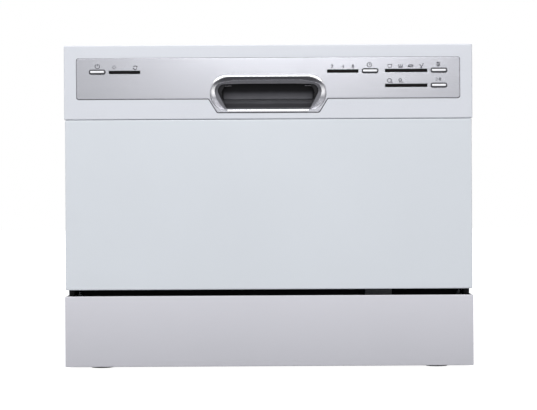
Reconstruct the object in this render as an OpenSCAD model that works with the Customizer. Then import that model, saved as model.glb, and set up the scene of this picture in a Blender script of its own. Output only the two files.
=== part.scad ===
// Countertop dishwasher for six place settings, front loading, with one sliding basket.
// Origin on the ground under the middle of the machine, +Z up, the door faces -Y.

/* [Cabinet] */
// Width over the side panels and the door
body_w = 550; // [530:2:600]
// Depth from the door's front to the back panel
body_d = 500; // [490:2:540]
// Height from the ground to the top
body_h = 438; // [434:2:470]
// Height of the feet under the base
foot_h = 5; // [4:0.5:9]
// Radius of a rubber foot
foot_r = 16; // [12:1:20]
// Painted steel sheet of the cabinet
sheet_t = 0.8; // [0.6:0.1:1.2]
// Sheet of the kick panel
kick_t = 1.2; // [0.8:0.1:1.6]
// Wall of the plastic base tray
tray_t = 2.5; // [2:0.25:3.5]
// Height of the kick panel
kick_h = 95; // [85:1:95]
// Black gap between the kick panel and the door
kick_gap = 8.6; // [8:0.2:14]

/* [Door] */
// Thickness of the door
door_t = 46; // [44:1:50]
// Gap between the door and the cabinet
door_gap = 4; // [3.5:0.5:6]
// Height of the control fascia
fascia_h = 100; // [96:1:106]
// Seam between the fascia and the door panel
seam = 0.6; // [0.4:0.1:1.2]
// Plastic wall of the fascia
fascia_t = 2.4; // [2:0.2:3]
// Distance of the hinge line behind the door's front
pivot_back = 13; // [12:0.5:14]
// Height of the hinge line over the door's lower edge
pivot_up = 7; // [6.5:0.25:8]
// Radius of a hinge pin
pin_r = 4; // [3:0.25:4.5]

/* [Trim and handle] */
// Margin of the silver panel inside the fascia's edges
trim_margin = 17; // [12:1:20]
// Height of the silver panel at its ends
trim_h = 55; // [50:1:58]
// Thickness of the silver panel
trim_t = 1.2; // [0.8:0.1:2]
// Half width of the bump under the handle, at its root
bump_w = 80; // [78:1:90]
// How far the bump runs below the silver panel
bump_h = 18; // [16:1:22]
// Half width of the handle bezel
bezel_w = 76.6; // [74:0.5:77]
// Half width of the finger recess at its top
recess_w = 66; // [60:1:68]
// Half width of the finger recess at its bottom
recess_low_w = 55.5; // [50:1:58]
// Height of the finger recess
recess_h = 33.3; // [30:1:34]
// Depth of the finger recess
recess_d = 27; // [24:1:28]

/* [Controls] */
// Width of a push button
button_w = 21.7; // [18:0.5:23]
// Height of a push button
button_h = 6.3; // [5:0.25:7]
// Travel of a push button
button_travel = 1.2; // [0.8:0.1:1.4]
// Height of an indicator window
window_h = 3.9; // [3:0.3:4.5]
// Width of a short indicator window
window_w = 41.8; // [38:1:44]
// Width of the two long indicator windows
long_window_w = 56.4; // [50:1:58]
// Distance of the outer buttons from the ends of the silver panel
button_in = 28; // [26:0.5:34]
// Gap between a button and the window beside it
control_gap = 5; // [4:0.25:7]
// Gap between the two groups of controls on the right
group_gap = 9.6; // [7:0.2:12]

/* [Wash chamber] */
// Space between the inside of the tub and a side panel
tub_side = 31.2; // [31:0.2:36]
// Stainless sheet of the tub
tub_t = 0.8; // [0.6:0.1:1]
// Height of the tub's floor over the ground
tub_floor_z = 122; // [121:0.5:124]
// Drop from a wheel ledge to the inner face of the open door
ledge_drop = 1; // [0.6:0.1:3]
// Width of a wheel ledge
ledge_w = 28; // [26:1:30]
// Radius of the sump's opening in the floor
sump_r = 78; // [74:1:82]
// Gap between the spray arm's tips and the wheel ledges
arm_gap = 27; // [22:1:40]

/* [Basket] */
// Radius of a thin basket wire
wire_r = 1.5; // [1.2:0.1:1.8]
// Radius of a rim wire
rim_r = 2.5; // [2:0.25:3]
// Height of the basket from its floor to its rim
basket_h = 138; // [120:2:150]
// Radius of a basket wheel
wheel_r = 11; // [9:0.5:12]
// Width of a basket wheel
wheel_w = 8; // [6:0.5:9]
// Spacing of the floor wires
wire_pitch = 36; // [30:1:44]
// Height of a plate tine
tine_h = 62; // [50:2:80]
// Length of the cutlery basket
cutlery_l = 180; // [150:5:190]
// Width of the cutlery basket
cutlery_w = 74; // [60:2:76]
// Height of the cutlery basket
cutlery_h = 100; // [90:2:110]

/* [Hidden] */
$fn = 48;

// Clearances: between parts that are seated, round a running shaft, and a thin cut's overshoot
seat = 0.3;
run_fit = 0.08;
eps = 1;

// Main planes
front_y = -body_d / 2;
back_y = body_d / 2;
side_x = body_w / 2;
proud = 2;
door_face = front_y + proud;
back_face = back_y - proud;
kick_top = foot_h + kick_h;
door_z = kick_top + kick_gap;
fascia_z = body_h - fascia_h;
door_back = door_face + door_t;
cab_y = door_back + door_gap;
pivot_y = door_face + pivot_back;
pivot_z = door_z + pivot_up;
door_sweep = norm([pivot_back, pivot_up]);
sweep_z = pivot_z - door_sweep - 4;

// Base tray
panel_in = side_x - sheet_t;
tray_x = panel_in - seat;
tray_floor = foot_h + tray_t;
tray_top = tub_floor_z - 4;
tray_back = back_face - 26;
bay_z = kick_top + 1;
foot_x = side_x - 45;
foot_y = -front_y - 60;
foot_hole = 5.2;

// Hinge: fixed ears outside, door arms inside, springs between them
flange_w = 4.5;
ear_t = 2.5;
ear_x = panel_in - flange_w - seat - ear_t;
ear_r = pivot_up;
arm_t = 2.5;
arm_x = ear_x - 12.6;
tail_r = 51;
tail_pin_r = 2;
spring_r = 4.5;
spring_x = (arm_x + arm_t + ear_x) / 2;
spring_y = pivot_y + tail_r;
spring_low = tray_floor + 12;
tray_front = spring_y + spring_r + 3.5;

// Tub
tub_x = panel_in - tub_side;
tub_y = cab_y + 6;
tub_back = back_face - 40;
tub_top = body_h - 16;
ledge_z = pivot_z + door_t - pivot_back + ledge_drop;
ledge_x = tub_x - ledge_w;
lip_z = ledge_z - 6;
flange_x = panel_in - 12.2;
sump_y = (tub_y + tub_back) / 2 + 2;
seal_w = 10;

// Pumps and water parts
sump_low = 45;
sump_wall = 3;
pump_z = 66;
pump_r = 38;
pump_x = [sump_r + 17, sump_r + 57];
motor_r = 34;
motor_x = [pump_x[1] + seat, pump_x[1] + 80];
inlet_x = 95 - side_x;
port_z = 60;
drain_x = -101;
gland_x = side_x - 75;
thread_r = 13.2;
spigot_r = 10;
drain_pump_y = 40;

// Floor fittings of the tub
salt_at = [65 - ledge_x, tub_y + 72];
salt_neck_r = 24;
softener_x = [salt_at[0] - 55, salt_at[0] + 45];
softener_y = [salt_at[1] - 45, salt_at[1] + 80];
float_at = [ledge_x - 35, tub_y + 42];
hub_r = 11;
cup_r = (sump_r - 2 - sump_wall - hub_r - 4) / 2;
cup_y = sump_y - (sump_r - 2 - sump_wall - seat - cup_r);
hub_z = tub_floor_z + 14;
hub_pin_r = 6;
arm_h = 12;
arm_r = ledge_x - arm_gap;

// Basket
axle_z = ledge_z + seat + wheel_r;
basket_z = axle_z + 12;
basket_x = tub_x - 21;
basket_front = door_back + 40;
basket_back = tub_back - 10;
rim_z = basket_z + basket_h;
front_axle_y = basket_front + 48;
rear_axle_y = basket_back - 46;

// Door front
trim_top = body_h - trim_margin;
trim_low = trim_top - trim_h;
trim_x = side_x - trim_margin;
bump_low = trim_low - bump_h;
recess_low = bump_low + 4;
recess_top = recess_low + recess_h;
bezel_top = recess_top + 11.5;
row_z = trim_top - 18.3;
row_2_z = row_z - 20.2;
trim_face = door_face - 0.4;
bezel_face = door_face - 1.4;
button_x = trim_x - button_in;
long_window_x = button_x - button_w / 2 - control_gap - long_window_w / 2;
delay_x = long_window_x - long_window_w / 2 - group_gap - button_w / 2;
window_x = delay_x - button_w / 2 - control_gap - window_w / 2;
left_window_x = -button_x + button_w / 2 + control_gap + window_w / 2;
lever_y = door_face + recess_d - 9;
lever_z = recess_top + 6;
strike_r = 2.5;
strike_z = tub_top - 10;
hook_y = door_back - 12;
hook_z = strike_z + strike_r + 1.4;
tail_low = recess_top + 14.6;

// A box given by its ranges
module span(x, y, z) {
  translate([x[0], y[0], z[0]]) cube([x[1] - x[0], y[1] - y[0], z[1] - z[0]]);
}

// Straight rods along each axis
module rod_x(r, x, y, z) {
  translate([x[0], y, z]) rotate([0, 90, 0]) cylinder(r = r, h = x[1] - x[0]);
}
module rod_y(r, x, y, z) {
  translate([x, y[0], z]) rotate([-90, 0, 0]) cylinder(r = r, h = y[1] - y[0]);
}
module rod_z(r, x, y, z) {
  translate([x, y, z[0]]) cylinder(r = r, h = z[1] - z[0]);
}

// The same piece on the left and on the right
module both() {
  children();
  mirror([1, 0, 0]) children();
}

// A flat outline with round corners, centred
module round_rect(w, h, r) {
  square([w - 2 * r, h], center = true);
  square([w, h - 2 * r], center = true);
  for (x = [-1, 1], y = [-1, 1]) translate([x * (w / 2 - r), y * (h / 2 - r)]) circle(r = r);
}

// Stands a flat outline in X and Z upright, between two planes
module upright(y) {
  translate([0, y[1], 0]) rotate([90, 0, 0]) linear_extrude(y[1] - y[0]) children();
}

/* ---- Cabinet ---- */

// Black plastic tray that carries the pumps, the feet and the hinge brackets
module base_tray() {
  color("#1c1c1e") {
    difference() {
      union() {
        span([-tray_x, tray_x], [door_face + 2, tray_back], [foot_h, tray_floor]);
        both() span([tray_x - tray_t, tray_x], [tray_front, tray_back], [foot_h, tray_top]);
        both() span([tray_x - tray_t, tray_x], [door_face + 2, tray_front], [foot_h, sweep_z]);
        span([-tray_x, tray_x], [tray_front, tray_front + tray_t], [foot_h, tray_top]);
        span([-tray_x, tray_x], [tray_back - tray_t, tray_back], [foot_h, tray_top]);
        span([-tray_x, tray_x], [tray_back, back_face - sheet_t - seat], [bay_z, bay_z + tray_t]);
        span([-tray_x, tray_x], [door_face + 2, door_face + 2 + tray_t], [foot_h, foot_h + 30]);
        span([motor_x[0] + 12, motor_x[1] - 12], [sump_y - 20, sump_y + 20],
             [foot_h, pump_z - motor_r - seat]);
        span([drain_x - 42, drain_x - 16], [drain_pump_y - 14, drain_pump_y + 14],
             [foot_h, port_z - 20 - seat]);
        both() span([spring_x - 2, spring_x + 2], [spring_y - 5, spring_y + 5],
                    [foot_h, spring_low - 3]);
      }
      for (x = [-foot_x, foot_x], y = [-foot_y, foot_y])
        rod_z(foot_hole, x, y, [foot_h - eps, tray_floor + eps]);
      rod_y(thread_r + 0.6, inlet_x, [tray_back - tray_t - eps, tray_back + eps], port_z);
      rod_y(spigot_r + 0.6, drain_x, [tray_back - tray_t - eps, tray_back + eps], port_z);
      rod_y(9.4, gland_x, [tray_back - tray_t - eps, tray_back + eps], port_z);
    }
  }
}

// Four soft feet pushed into the tray
module rubber_feet() {
  color("#3a3a3c")
    for (x = [-foot_x, foot_x], y = [-foot_y, foot_y]) {
      rod_z(foot_r, x, y, [0, foot_h]);
      rod_z(foot_hole - seat, x, y, [foot_h, tray_floor + 3]);
    }
}

// Painted steel panel under the door, folded back at its ends and its lower edge
module kick_panel() {
  color("#ccccd2") {
    span([-side_x, side_x], [door_face, door_face + kick_t], [foot_h, kick_top]);
    both() span([tray_x - 14, tray_x - tray_t - seat], [door_face, door_face + 12], [foot_h + 40, sweep_z - 6]);
  }
}

// Painted steel side, with a foot that runs forward under the door
module side_panel() {
  span([panel_in, side_x], [cab_y, back_y - proud], [foot_h, body_h - sheet_t - seat]);
  span([panel_in, side_x], [door_face + kick_t + seat, cab_y], [foot_h, kick_top]);
  span([panel_in - flange_w, panel_in], [cab_y, cab_y + sheet_t], [sweep_z, door_z]);
  span([panel_in - flange_w, panel_in], [cab_y, cab_y + sheet_t], [pivot_z + 14, body_h - 14]);
}
module left_side_panel() {
  color("#d6dbe1") mirror([1, 0, 0]) side_panel();
}
module right_side_panel() {
  color("#d6dbe1") side_panel();
}

// Painted steel top with its skirt inside the side panels
module top_panel() {
  skirt_x = panel_in - seat;
  color("#d6dbe1") {
    span([-side_x, side_x], [cab_y, back_face], [body_h - sheet_t, body_h]);
    both() span([skirt_x - sheet_t, skirt_x], [cab_y + 6, back_face - 6], [body_h - 12, body_h - sheet_t]);
    span([-skirt_x, skirt_x], [cab_y, cab_y + sheet_t], [tub_top + seal_w + 1, body_h - sheet_t]);
  }
}

// Galvanised back with a band of air slots
module back_panel() {
  back_x = panel_in - seat;
  color("#b9bcc0")
    difference() {
      span([-back_x, back_x], [back_face - sheet_t, back_face], [bay_z, body_h - sheet_t - seat]);
      for (i = [-5:5])
        translate([i * 26, 0, bay_z + 24])
          upright([back_face - sheet_t - eps, back_face + eps]) round_rect(18, 4, 1.9);
    }
}

// Screws that hold the back panel
module cabinet_screws() {
  color("#8d9094")
    for (x = [-1, 0, 1], z = [bay_z + 8, body_h - 14])
      rod_y(3.6, x * (panel_in - 12), [back_face, back_y], z);
}

/* ---- Tub ---- */

// The space inside the tub, or its outside when grown by the sheet
module tub_space(grow, y0) {
  span([-ledge_x - grow, ledge_x + grow], [y0, tub_back + grow], [tub_floor_z - grow, tub_top + grow]);
  span([-tub_x - grow, tub_x + grow], [y0, tub_back + grow], [ledge_z - grow, tub_top + grow]);
}

// Stainless tub with its wheel ledges, front flange and floor openings
module tub() {
  color("#b8bcc2")
    difference() {
      union() {
        tub_space(tub_t, tub_y);
        span([-flange_x, flange_x], [tub_y, tub_y + tub_t], [pivot_z + tail_r + 10, body_h - 14]);
        span([-arm_x + 1, arm_x - 1], [tub_y, tub_y + tub_t], [tub_floor_z - 4, body_h - 14]);
      }
      difference() {
        tub_space(0, tub_y - eps);
        span([-tub_x - eps, tub_x + eps], [tub_y - 2 * eps, tub_y + tub_t], [0, lip_z]);
      }
      rod_z(sump_r, 0, sump_y, [0, tub_floor_z + eps]);
      rod_z(salt_neck_r + seat, salt_at[0], salt_at[1], [0, tub_floor_z + eps]);
      rod_z(4.4, float_at[0], float_at[1], [0, tub_floor_z + eps]);
      for (at = element_legs) rod_z(5.4, at[0], at[1], [0, tub_floor_z + eps]);
    }
}

// Rubber seal round the opening, with a flat strip across the lip
module door_seal() {
  seal_y = [door_back + 0.4, tub_y];
  color("#2b2c2e") {
    both() span([tub_x, tub_x + seal_w], seal_y, [lip_z, tub_top + seal_w]);
    span([-tub_x, tub_x], seal_y, [tub_top, tub_top + seal_w]);
    span([-tub_x, tub_x], [door_back + 0.4, tub_y], [lip_z - 6, lip_z - 0.5]);
  }
}

// Steel bar under the tub's ceiling, which the door hook reaches over
module latch_strike() {
  y = tub_y + 8;
  top = tub_top - seat;
  color("#9a9da1") {
    rod_x(strike_r, [-13.5, 13.5], y, strike_z);
    both() span([13, 15], [y - 3, y + 9], [strike_z - strike_r - 0.5, top]);
    span([-15, 15], [y - 2, y + 8], [top - 0.9, top]);
  }
}

/* ---- Hinges ---- */

// Steel ears on the tray that carry the hinge pins
module hinge_brackets() {
  color("#8f9499")
    both()
      difference() {
        union() {
          span([ear_x, ear_x + ear_t], [cab_y - 2, tray_front - seat], [tray_floor, pivot_z + ear_r]);
          span([ear_x, ear_x + ear_t], [pivot_y, cab_y - 1], [pivot_z - ear_r, pivot_z + ear_r]);
          rod_x(ear_r, [ear_x, ear_x + ear_t], pivot_y, pivot_z);
        }
        rod_x(pin_r + run_fit, [ear_x - eps, ear_x + ear_t + eps], pivot_y, pivot_z);
      }
}

module hinge_pins() {
  color("#c6c8cb") both() rod_x(pin_r, [arm_x, ear_x + ear_t], pivot_y, pivot_z);
}

// Springs that pull the hinge tails down as the door opens
module door_springs() {
  spring_top = pivot_z - tail_pin_r - seat;
  color("#a7a9ac")
    both()
      difference() {
        rod_z(spring_r, spring_x, spring_y, [spring_low, spring_top]);
        rod_z(spring_r - 1.2, spring_x, spring_y, [spring_low - eps, spring_top + eps]);
      }
}

// Steel arms screwed to the door, with a boss on the pin and a tail behind it
module hinge_arms() {
  color("#9a9ea3")
    both() {
      difference() {
        union() {
          span([arm_x, arm_x + arm_t], [pivot_y - 6, door_back - 2], [pivot_z, pivot_z + 120]);
          span([arm_x, arm_x + arm_t], [pivot_y, spring_y], [pivot_z - 5, pivot_z + 5]);
          rod_x(ear_r, [arm_x, arm_x + arm_t], pivot_y, pivot_z);
          rod_x(5, [arm_x, arm_x + arm_t], spring_y, pivot_z);
          rod_x(tail_pin_r, [arm_x + arm_t, ear_x - seat], spring_y, pivot_z);
        }
        rod_x(pin_r + run_fit, [arm_x - eps, arm_x + arm_t + eps], pivot_y, pivot_z);
      }
    }
}

/* ---- Water parts under the tub ---- */

// Moulded sump that hangs under the tub, with the post that carries the spray arm
module sump() {
  color("#e3e4e2")
    difference() {
      union() {
        rod_z(sump_r - 2, 0, sump_y, [sump_low, tub_floor_z - tub_t]);
        rod_z(sump_r + 12, 0, sump_y, [tub_floor_z - tub_t - seat - 3, tub_floor_z - tub_t - seat]);
        rod_x(13, [0, pump_x[0] - seat], sump_y, pump_z);
        rod_x(8, [0, pump_x[0] - seat], sump_y + 28, pump_z);
        rod_x(11, [drain_x + 11 + seat, 0], drain_pump_y, port_z);
      }
      difference() {
        rod_z(sump_r - 2 - sump_wall, 0, sump_y, [sump_low + sump_wall, tub_floor_z + eps]);
        rod_z(hub_r, 0, sump_y, [sump_low, tub_floor_z + 2 * eps]);
      }
      rod_x(10.5, [sump_r - 20, pump_x[0] + eps], sump_y, pump_z);
      rod_x(6, [hub_r + 8, pump_x[0] + eps], sump_y + 28, pump_z);
      rod_x(8.5, [drain_x, -sump_r + 24], drain_pump_y, port_z);
    }
  color("#e3e4e2") {
    rod_z(hub_r, 0, sump_y, [tub_floor_z - tub_t, hub_z]);
    rod_z(hub_pin_r, 0, sump_y, [hub_z, hub_z + arm_h + 4]);
  }
}

// Pressed filter plate over the sump, with holes for the post and the filter cup
module flat_filter() {
  color("#a9adb2")
    difference() {
      rod_z(sump_r + 10, 0, sump_y, [tub_floor_z, tub_floor_z + 1.2]);
      rod_z(hub_r + 0.6, 0, sump_y, [tub_floor_z - eps, tub_floor_z + 2 * eps]);
      rod_z(cup_r + 0.8, 0, cup_y, [tub_floor_z - eps, tub_floor_z + 2 * eps]);
    }
}

// Round filter that lifts out after a quarter turn
module filter_cup() {
  color("#c9ccd0")
    difference() {
      union() {
        rod_z(cup_r, 0, cup_y, [sump_low + sump_wall + seat, tub_floor_z + 2.5]);
        rod_z(cup_r + 3.4, 0, cup_y, [tub_floor_z + 1.2 + seat, tub_floor_z + 4]);
        span([-cup_r + 6, cup_r - 6], [cup_y - 3, cup_y + 3], [tub_floor_z - 20, hub_z - 3]);
      }
      difference() {
        rod_z(cup_r - 2, 0, cup_y, [sump_low + sump_wall + 4, tub_floor_z + 5]);
        span([-cup_r + 6, cup_r - 6], [cup_y - 3, cup_y + 3], [tub_floor_z - 20, tub_floor_z + 6]);
        rod_z(3, 0, cup_y, [sump_low, tub_floor_z - 10]);
      }
    }
}

// Steel tube element round the sump, with its two legs through the floor
element_r = 126;
element_legs = [for (side = [-1, 1]) [side * 14, sump_y + sqrt(element_r ^ 2 - 14 ^ 2)]];
module heating_element() {
  tube_r = 4;
  lift = tub_floor_z + 3 + seat + tube_r;
  color("#6d7074") {
    translate([0, sump_y, lift]) rotate_extrude() translate([element_r, 0]) circle(r = tube_r);
    for (at = element_legs) rod_z(5, at[0], at[1], [tub_floor_z - 22, lift + 2]);
    for (a = [-30, 90, 210])
      rotate_about(a) span([element_r - 5, element_r + 5], [-4, 4], [tub_floor_z, tub_floor_z + 3]);
  }
}
module rotate_about(a) {
  translate([0, sump_y, 0]) rotate([0, 0, -a]) children();
}

// Volute of the wash pump, open towards its motor for the impeller
module wash_pump_housing() {
  color("#d9dad8")
    difference() {
      rod_x(pump_r, pump_x, sump_y, pump_z);
      rod_x(pump_r - 3, [pump_x[0] + 4, pump_x[1] + eps], sump_y, pump_z);
      rod_x(10.5, [pump_x[0] - eps, pump_x[0] + 5], sump_y, pump_z);
      rod_x(6, [pump_x[0] - eps, pump_x[0] + 5], sump_y + 28, pump_z);
    }
}

// Motor of the wash pump, closed at the pump's side by its seal plate
module wash_motor() {
  color("#4b4f54") {
    difference() {
      union() {
        rod_x(motor_r, motor_x, sump_y, pump_z);
        rod_x(pump_r, [motor_x[0], motor_x[0] + 4], sump_y, pump_z);
      }
      rod_x(4 + run_fit, [motor_x[0] - eps, motor_x[0] + 26], sump_y, pump_z);
    }
    rod_x(12, [motor_x[1], motor_x[1] + 6], sump_y, pump_z);
  }
}

// Impeller with its shaft in the motor
module wash_impeller() {
  mid = pump_x[0] + 12;
  color("#f0efe9") {
    rod_x(30, [mid, mid + 3], sump_y, pump_z);
    rod_x(4, [mid, motor_x[0] + 24], sump_y, pump_z);
    rod_x(9, [mid + 3, mid + 14], sump_y, pump_z);
    for (i = [0:5])
      translate([0, sump_y, pump_z]) rotate([i * 60, 0, 0]) span([mid + 3, mid + 12], [6, 29], [-1, 1]);
  }
}

// Drain pump with its small motor and an outlet to the hose
module drain_pump() {
  color("#2f3f4f")
    difference() {
      union() {
        rod_x(22, [drain_x - 12, drain_x + 11], drain_pump_y, port_z);
        rod_x(20, [drain_x - 46, drain_x - 12], drain_pump_y, port_z);
        rod_y(9, drain_x, [drain_pump_y, drain_pump_y + 34], port_z);
      }
      rod_x(18, [drain_x - 9, drain_x + 8], drain_pump_y, port_z);
      rod_x(8.5, [drain_x, drain_x + 11 + eps], drain_pump_y, port_z);
      rod_x(2 + run_fit, [drain_x - 20, drain_x], drain_pump_y, port_z);
      rod_y(6.5, drain_x, [drain_pump_y, drain_pump_y + 34 + eps], port_z);
    }
}

module drain_impeller() {
  color("#e8e6df") {
    rod_x(2, [drain_x - 18, drain_x + 2], drain_pump_y, port_z);
    rod_x(5, [drain_x - 7, drain_x + 3], drain_pump_y, port_z);
    for (i = [0:3])
      translate([0, drain_pump_y, port_z]) rotate([i * 90 + 20, 0, 0])
        span([drain_x - 6, drain_x + 2], [4, 15], [-0.8, 0.8]);
  }
}

// Inner hose from the drain pump to the connector at the back
module drain_hose() {
  hose_y = [drain_pump_y + 34 + seat, tray_back - tray_t - seat];
  color("#8b8f93")
    difference() {
      rod_y(10, drain_x, hose_y, port_z);
      rod_y(7.5, drain_x, [hose_y[0] - eps, hose_y[1] + eps], port_z);
    }
}

// Spigot for the outer drain hose
module drain_connector() {
  color("#3d4044")
    difference() {
      union() {
        rod_y(spigot_r, drain_x, [tray_back - tray_t, back_face], port_z);
        rod_y(spigot_r + 4, drain_x, [tray_back + seat, tray_back + 4], port_z);
      }
      rod_y(spigot_r - 2.5, drain_x, [tray_back - tray_t - eps, back_face + eps], port_z);
    }
}

// Inlet valve with the threaded port for the water hose
module inlet_valve() {
  color("#e9e9e6")
    difference() {
      union() {
        rod_y(thread_r, inlet_x, [tray_back - tray_t - 6, tray_back + 16], port_z);
        rod_y(thread_r + 5, inlet_x, [tray_back + seat, tray_back + 3], port_z);
        span([inlet_x - 18, inlet_x + 14], [tray_back - tray_t - 34, tray_back - tray_t - seat],
             [port_z - 16, port_z + 20]);
      }
      rod_y(thread_r - 3.4, inlet_x, [tray_back - 6, tray_back + 16 + eps], port_z);
    }
}

// Gland of the mains lead
module cord_gland() {
  color("#26272a")
    difference() {
      union() {
        rod_y(9, gland_x, [tray_back - tray_t - 4, back_face], port_z);
        rod_y(13, gland_x, [tray_back + seat, tray_back + 4], port_z);
      }
      rod_y(3.6, gland_x, [tray_back - tray_t - 4 - eps, back_face + eps], port_z);
    }
}

// Softener tank that stands in the tray, with its neck up through the tub's floor
module softener() {
  color("#dfe3e6")
    difference() {
      union() {
        span(softener_x, softener_y, [tray_floor + seat, tub_floor_z - tub_t - seat - 4]);
        rod_z(salt_neck_r, salt_at[0], salt_at[1], [tray_floor + 10, tub_floor_z + 3]);
        rod_z(salt_neck_r + 6, salt_at[0], salt_at[1], [tub_floor_z - tub_t - seat - 4, tub_floor_z - tub_t - seat]);
        difference() {
          rod_x(7, [softener_x[1], 0], softener_y[1] - 10, pump_z + 6);
          rod_z(sump_r - 2 + seat, 0, sump_y, [0, tub_floor_z]);
        }
      }
      rod_z(salt_neck_r - 3.4, salt_at[0], salt_at[1], [tray_floor + 14, tub_floor_z + 4]);
    }
}

// Screw cap of the softener
module salt_cap() {
  color("#3f4a55") {
    rod_z(salt_neck_r - 4, salt_at[0], salt_at[1], [tub_floor_z - 12, tub_floor_z + 3 + seat]);
    rod_z(salt_neck_r + 4, salt_at[0], salt_at[1], [tub_floor_z + 3 + seat, tub_floor_z + 7]);
    span([salt_at[0] - 20, salt_at[0] + 20], [salt_at[1] - 2.5, salt_at[1] + 2.5],
         [tub_floor_z + 7, tub_floor_z + 12]);
  }
}

// Flat air break in the space beside the tub
break_wall = 2;
break_low = ledge_z - 4;
break_y = [tub_y + 52, tray_back - 12];
module air_break() {
  x = [-panel_in + 5, -tub_x - tub_t - 3];
  z = [break_low, tub_top - 50];
  port_mid = (z[0] + z[1]) / 2;
  color("#e6e9ea") {
    difference() {
      span(x, break_y, z);
      span([x[0] + break_wall, x[1] - break_wall], [break_y[0] + break_wall, break_y[1] - break_wall],
           [z[0] + break_wall, z[1] - break_wall]);
    }
    span([x[1], -tub_x - tub_t - seat], [sump_y + 10, sump_y + 50], [port_mid - 20, port_mid + 20]);
  }
}

// Inner hoses: valve to air break, and air break to softener
module inlet_hoses() {
  hose_x = -panel_in + 15;
  bend = 13;
  color("#9ea3a8") {
    elbow_hose(hose_x, tray_back - 26, pump_z + 6, bend, inlet_x - 18 - seat);
    elbow_hose(hose_x, salt_at[1] + 10, pump_z + 6, bend, softener_x[0] - seat);
  }
}
module elbow_hose(x, y, z, bend, end_x) {
  hose_r = 6.5;
  difference() {
    union() {
      rod_x(hose_r, [x + bend, end_x], y, z);
      rod_z(hose_r, x, y, [z + bend, break_low - seat]);
      translate([x + bend, y, z + bend]) rotate([90, 0, 0]) rotate([0, 0, 180])
        rotate_extrude(angle = 90) translate([bend, 0]) circle(r = hose_r);
    }
    rod_x(hose_r - 2, [x + bend + eps, end_x + eps], y, z);
    rod_z(hose_r - 2, x, y, [z + bend + eps, break_low]);
  }
}

// Float in the tub and the switch that its stem works
module tub_float() {
  color("#f2f2ef") {
    rod_z(15, float_at[0], float_at[1], [tub_floor_z + seat, tub_floor_z + 16]);
    rod_z(4, float_at[0], float_at[1], [tub_floor_z - tub_t - 4, tub_floor_z + seat]);
  }
}
module float_switch() {
  top_z = tub_floor_z - tub_t - seat;
  color("#33363a")
    difference() {
      span([float_at[0] - 16, float_at[0] + 16], [float_at[1] - 12, float_at[1] + 12], [top_z - 26, top_z]);
      rod_z(6, float_at[0], float_at[1], [top_z - 6, top_z + eps]);
    }
}

/* ---- Door ---- */

// Points of an outline whose corners are rounded, each by its own radius
function unit(v) = v / norm(v);
function corner(a, b, c, r, n) =
  let (
    u = unit(a - b),
    v = unit(c - b),
    half = acos(u * v) / 2,
    middle = b + unit(u + v) * r / sin(half),
    from = b + u * r / tan(half) - middle,
    to = b + v * r / tan(half) - middle,
    start = atan2(from.y, from.x),
    turn = (atan2(to.y, to.x) - start + 540) % 360 - 180
  )
  [for (i = [0:n]) middle + r * [cos(start + turn * i / n), sin(start + turn * i / n)]];
function rounded(points, radii, n = 8) =
  let (count = len(points))
  [for (i = [0:count - 1])
    each corner(points[(i + count - 1) % count], points[i], points[(i + 1) % count], radii[i], n)];

// Outlines of the finger recess and of the bezel round it
module recess_outline(grow = 0) {
  polygon(rounded([
    [-recess_w - grow, recess_top + grow], [recess_w + grow, recess_top + grow],
    [recess_low_w + grow, recess_low - grow], [-recess_low_w - grow, recess_low - grow]],
    [13 + grow, 13 + grow, 4 + grow, 4 + grow]));
}
module bezel_outline(grow = 0) {
  low = recess_low - 1.2;
  end_r = (bezel_top - low) / 2 - 0.5 + grow;
  polygon(rounded([
    [-bezel_w - grow, bezel_top + grow], [bezel_w + grow, bezel_top + grow],
    [bezel_w + grow, low - grow], [-bezel_w - grow, low - grow]],
    [end_r, end_r, end_r, end_r], 16));
}

// Outline of the silver panel: a bar with a bump under the handle
module trim_outline(grow = 0) {
  x = trim_x + grow;
  top = trim_top + grow;
  low = trim_low - grow;
  root_x = bump_w + grow;
  tip_x = bump_w - 11.4 + grow;
  polygon(rounded([
    [-x, top], [x, top], [x, low], [root_x, low], [tip_x, bump_low - grow],
    [-tip_x, bump_low - grow], [-root_x, low], [-x, low]],
    [3.5, 3.5, 3.5, 2, 4, 4, 2, 3.5]));
}

// Places of the buttons and of the windows in the silver panel
BUTTONS = [[-button_x, row_z], [delay_x, row_z], [button_x, row_z], [button_x, row_2_z]];
WINDOWS = [
  [left_window_x, row_z, window_w], [window_x, row_z, window_w],
  [long_window_x, row_z, long_window_w], [long_window_x, row_2_z, long_window_w]];
module control_holes(grow) {
  for (at = BUTTONS) translate(at) round_rect(button_w + 2 * grow, button_h + 2 * grow, 2.8 + grow);
  for (at = WINDOWS)
    translate([at[0], at[1]]) round_rect(at[2] + 2 * grow, window_h + 2 * grow, 1 + grow);
}

// Painted steel front of the door, folded back on all four sides
module door_outer_panel() {
  x = panel_in - 0.4;
  z = [door_z, fascia_z - seam];
  color("#d6dbe1") {
    span([-x, x], [door_face, door_face + sheet_t], z);
    both() span([x - sheet_t, x], [door_face, door_back - 0.5], z);
    span([seat - arm_x, arm_x - seat], [door_face, door_face + 15], [z[0], z[0] + sheet_t]);
    span([-x, x], [door_face, door_face + 19], [z[1] - sheet_t, z[1]]);
  }
}

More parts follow.
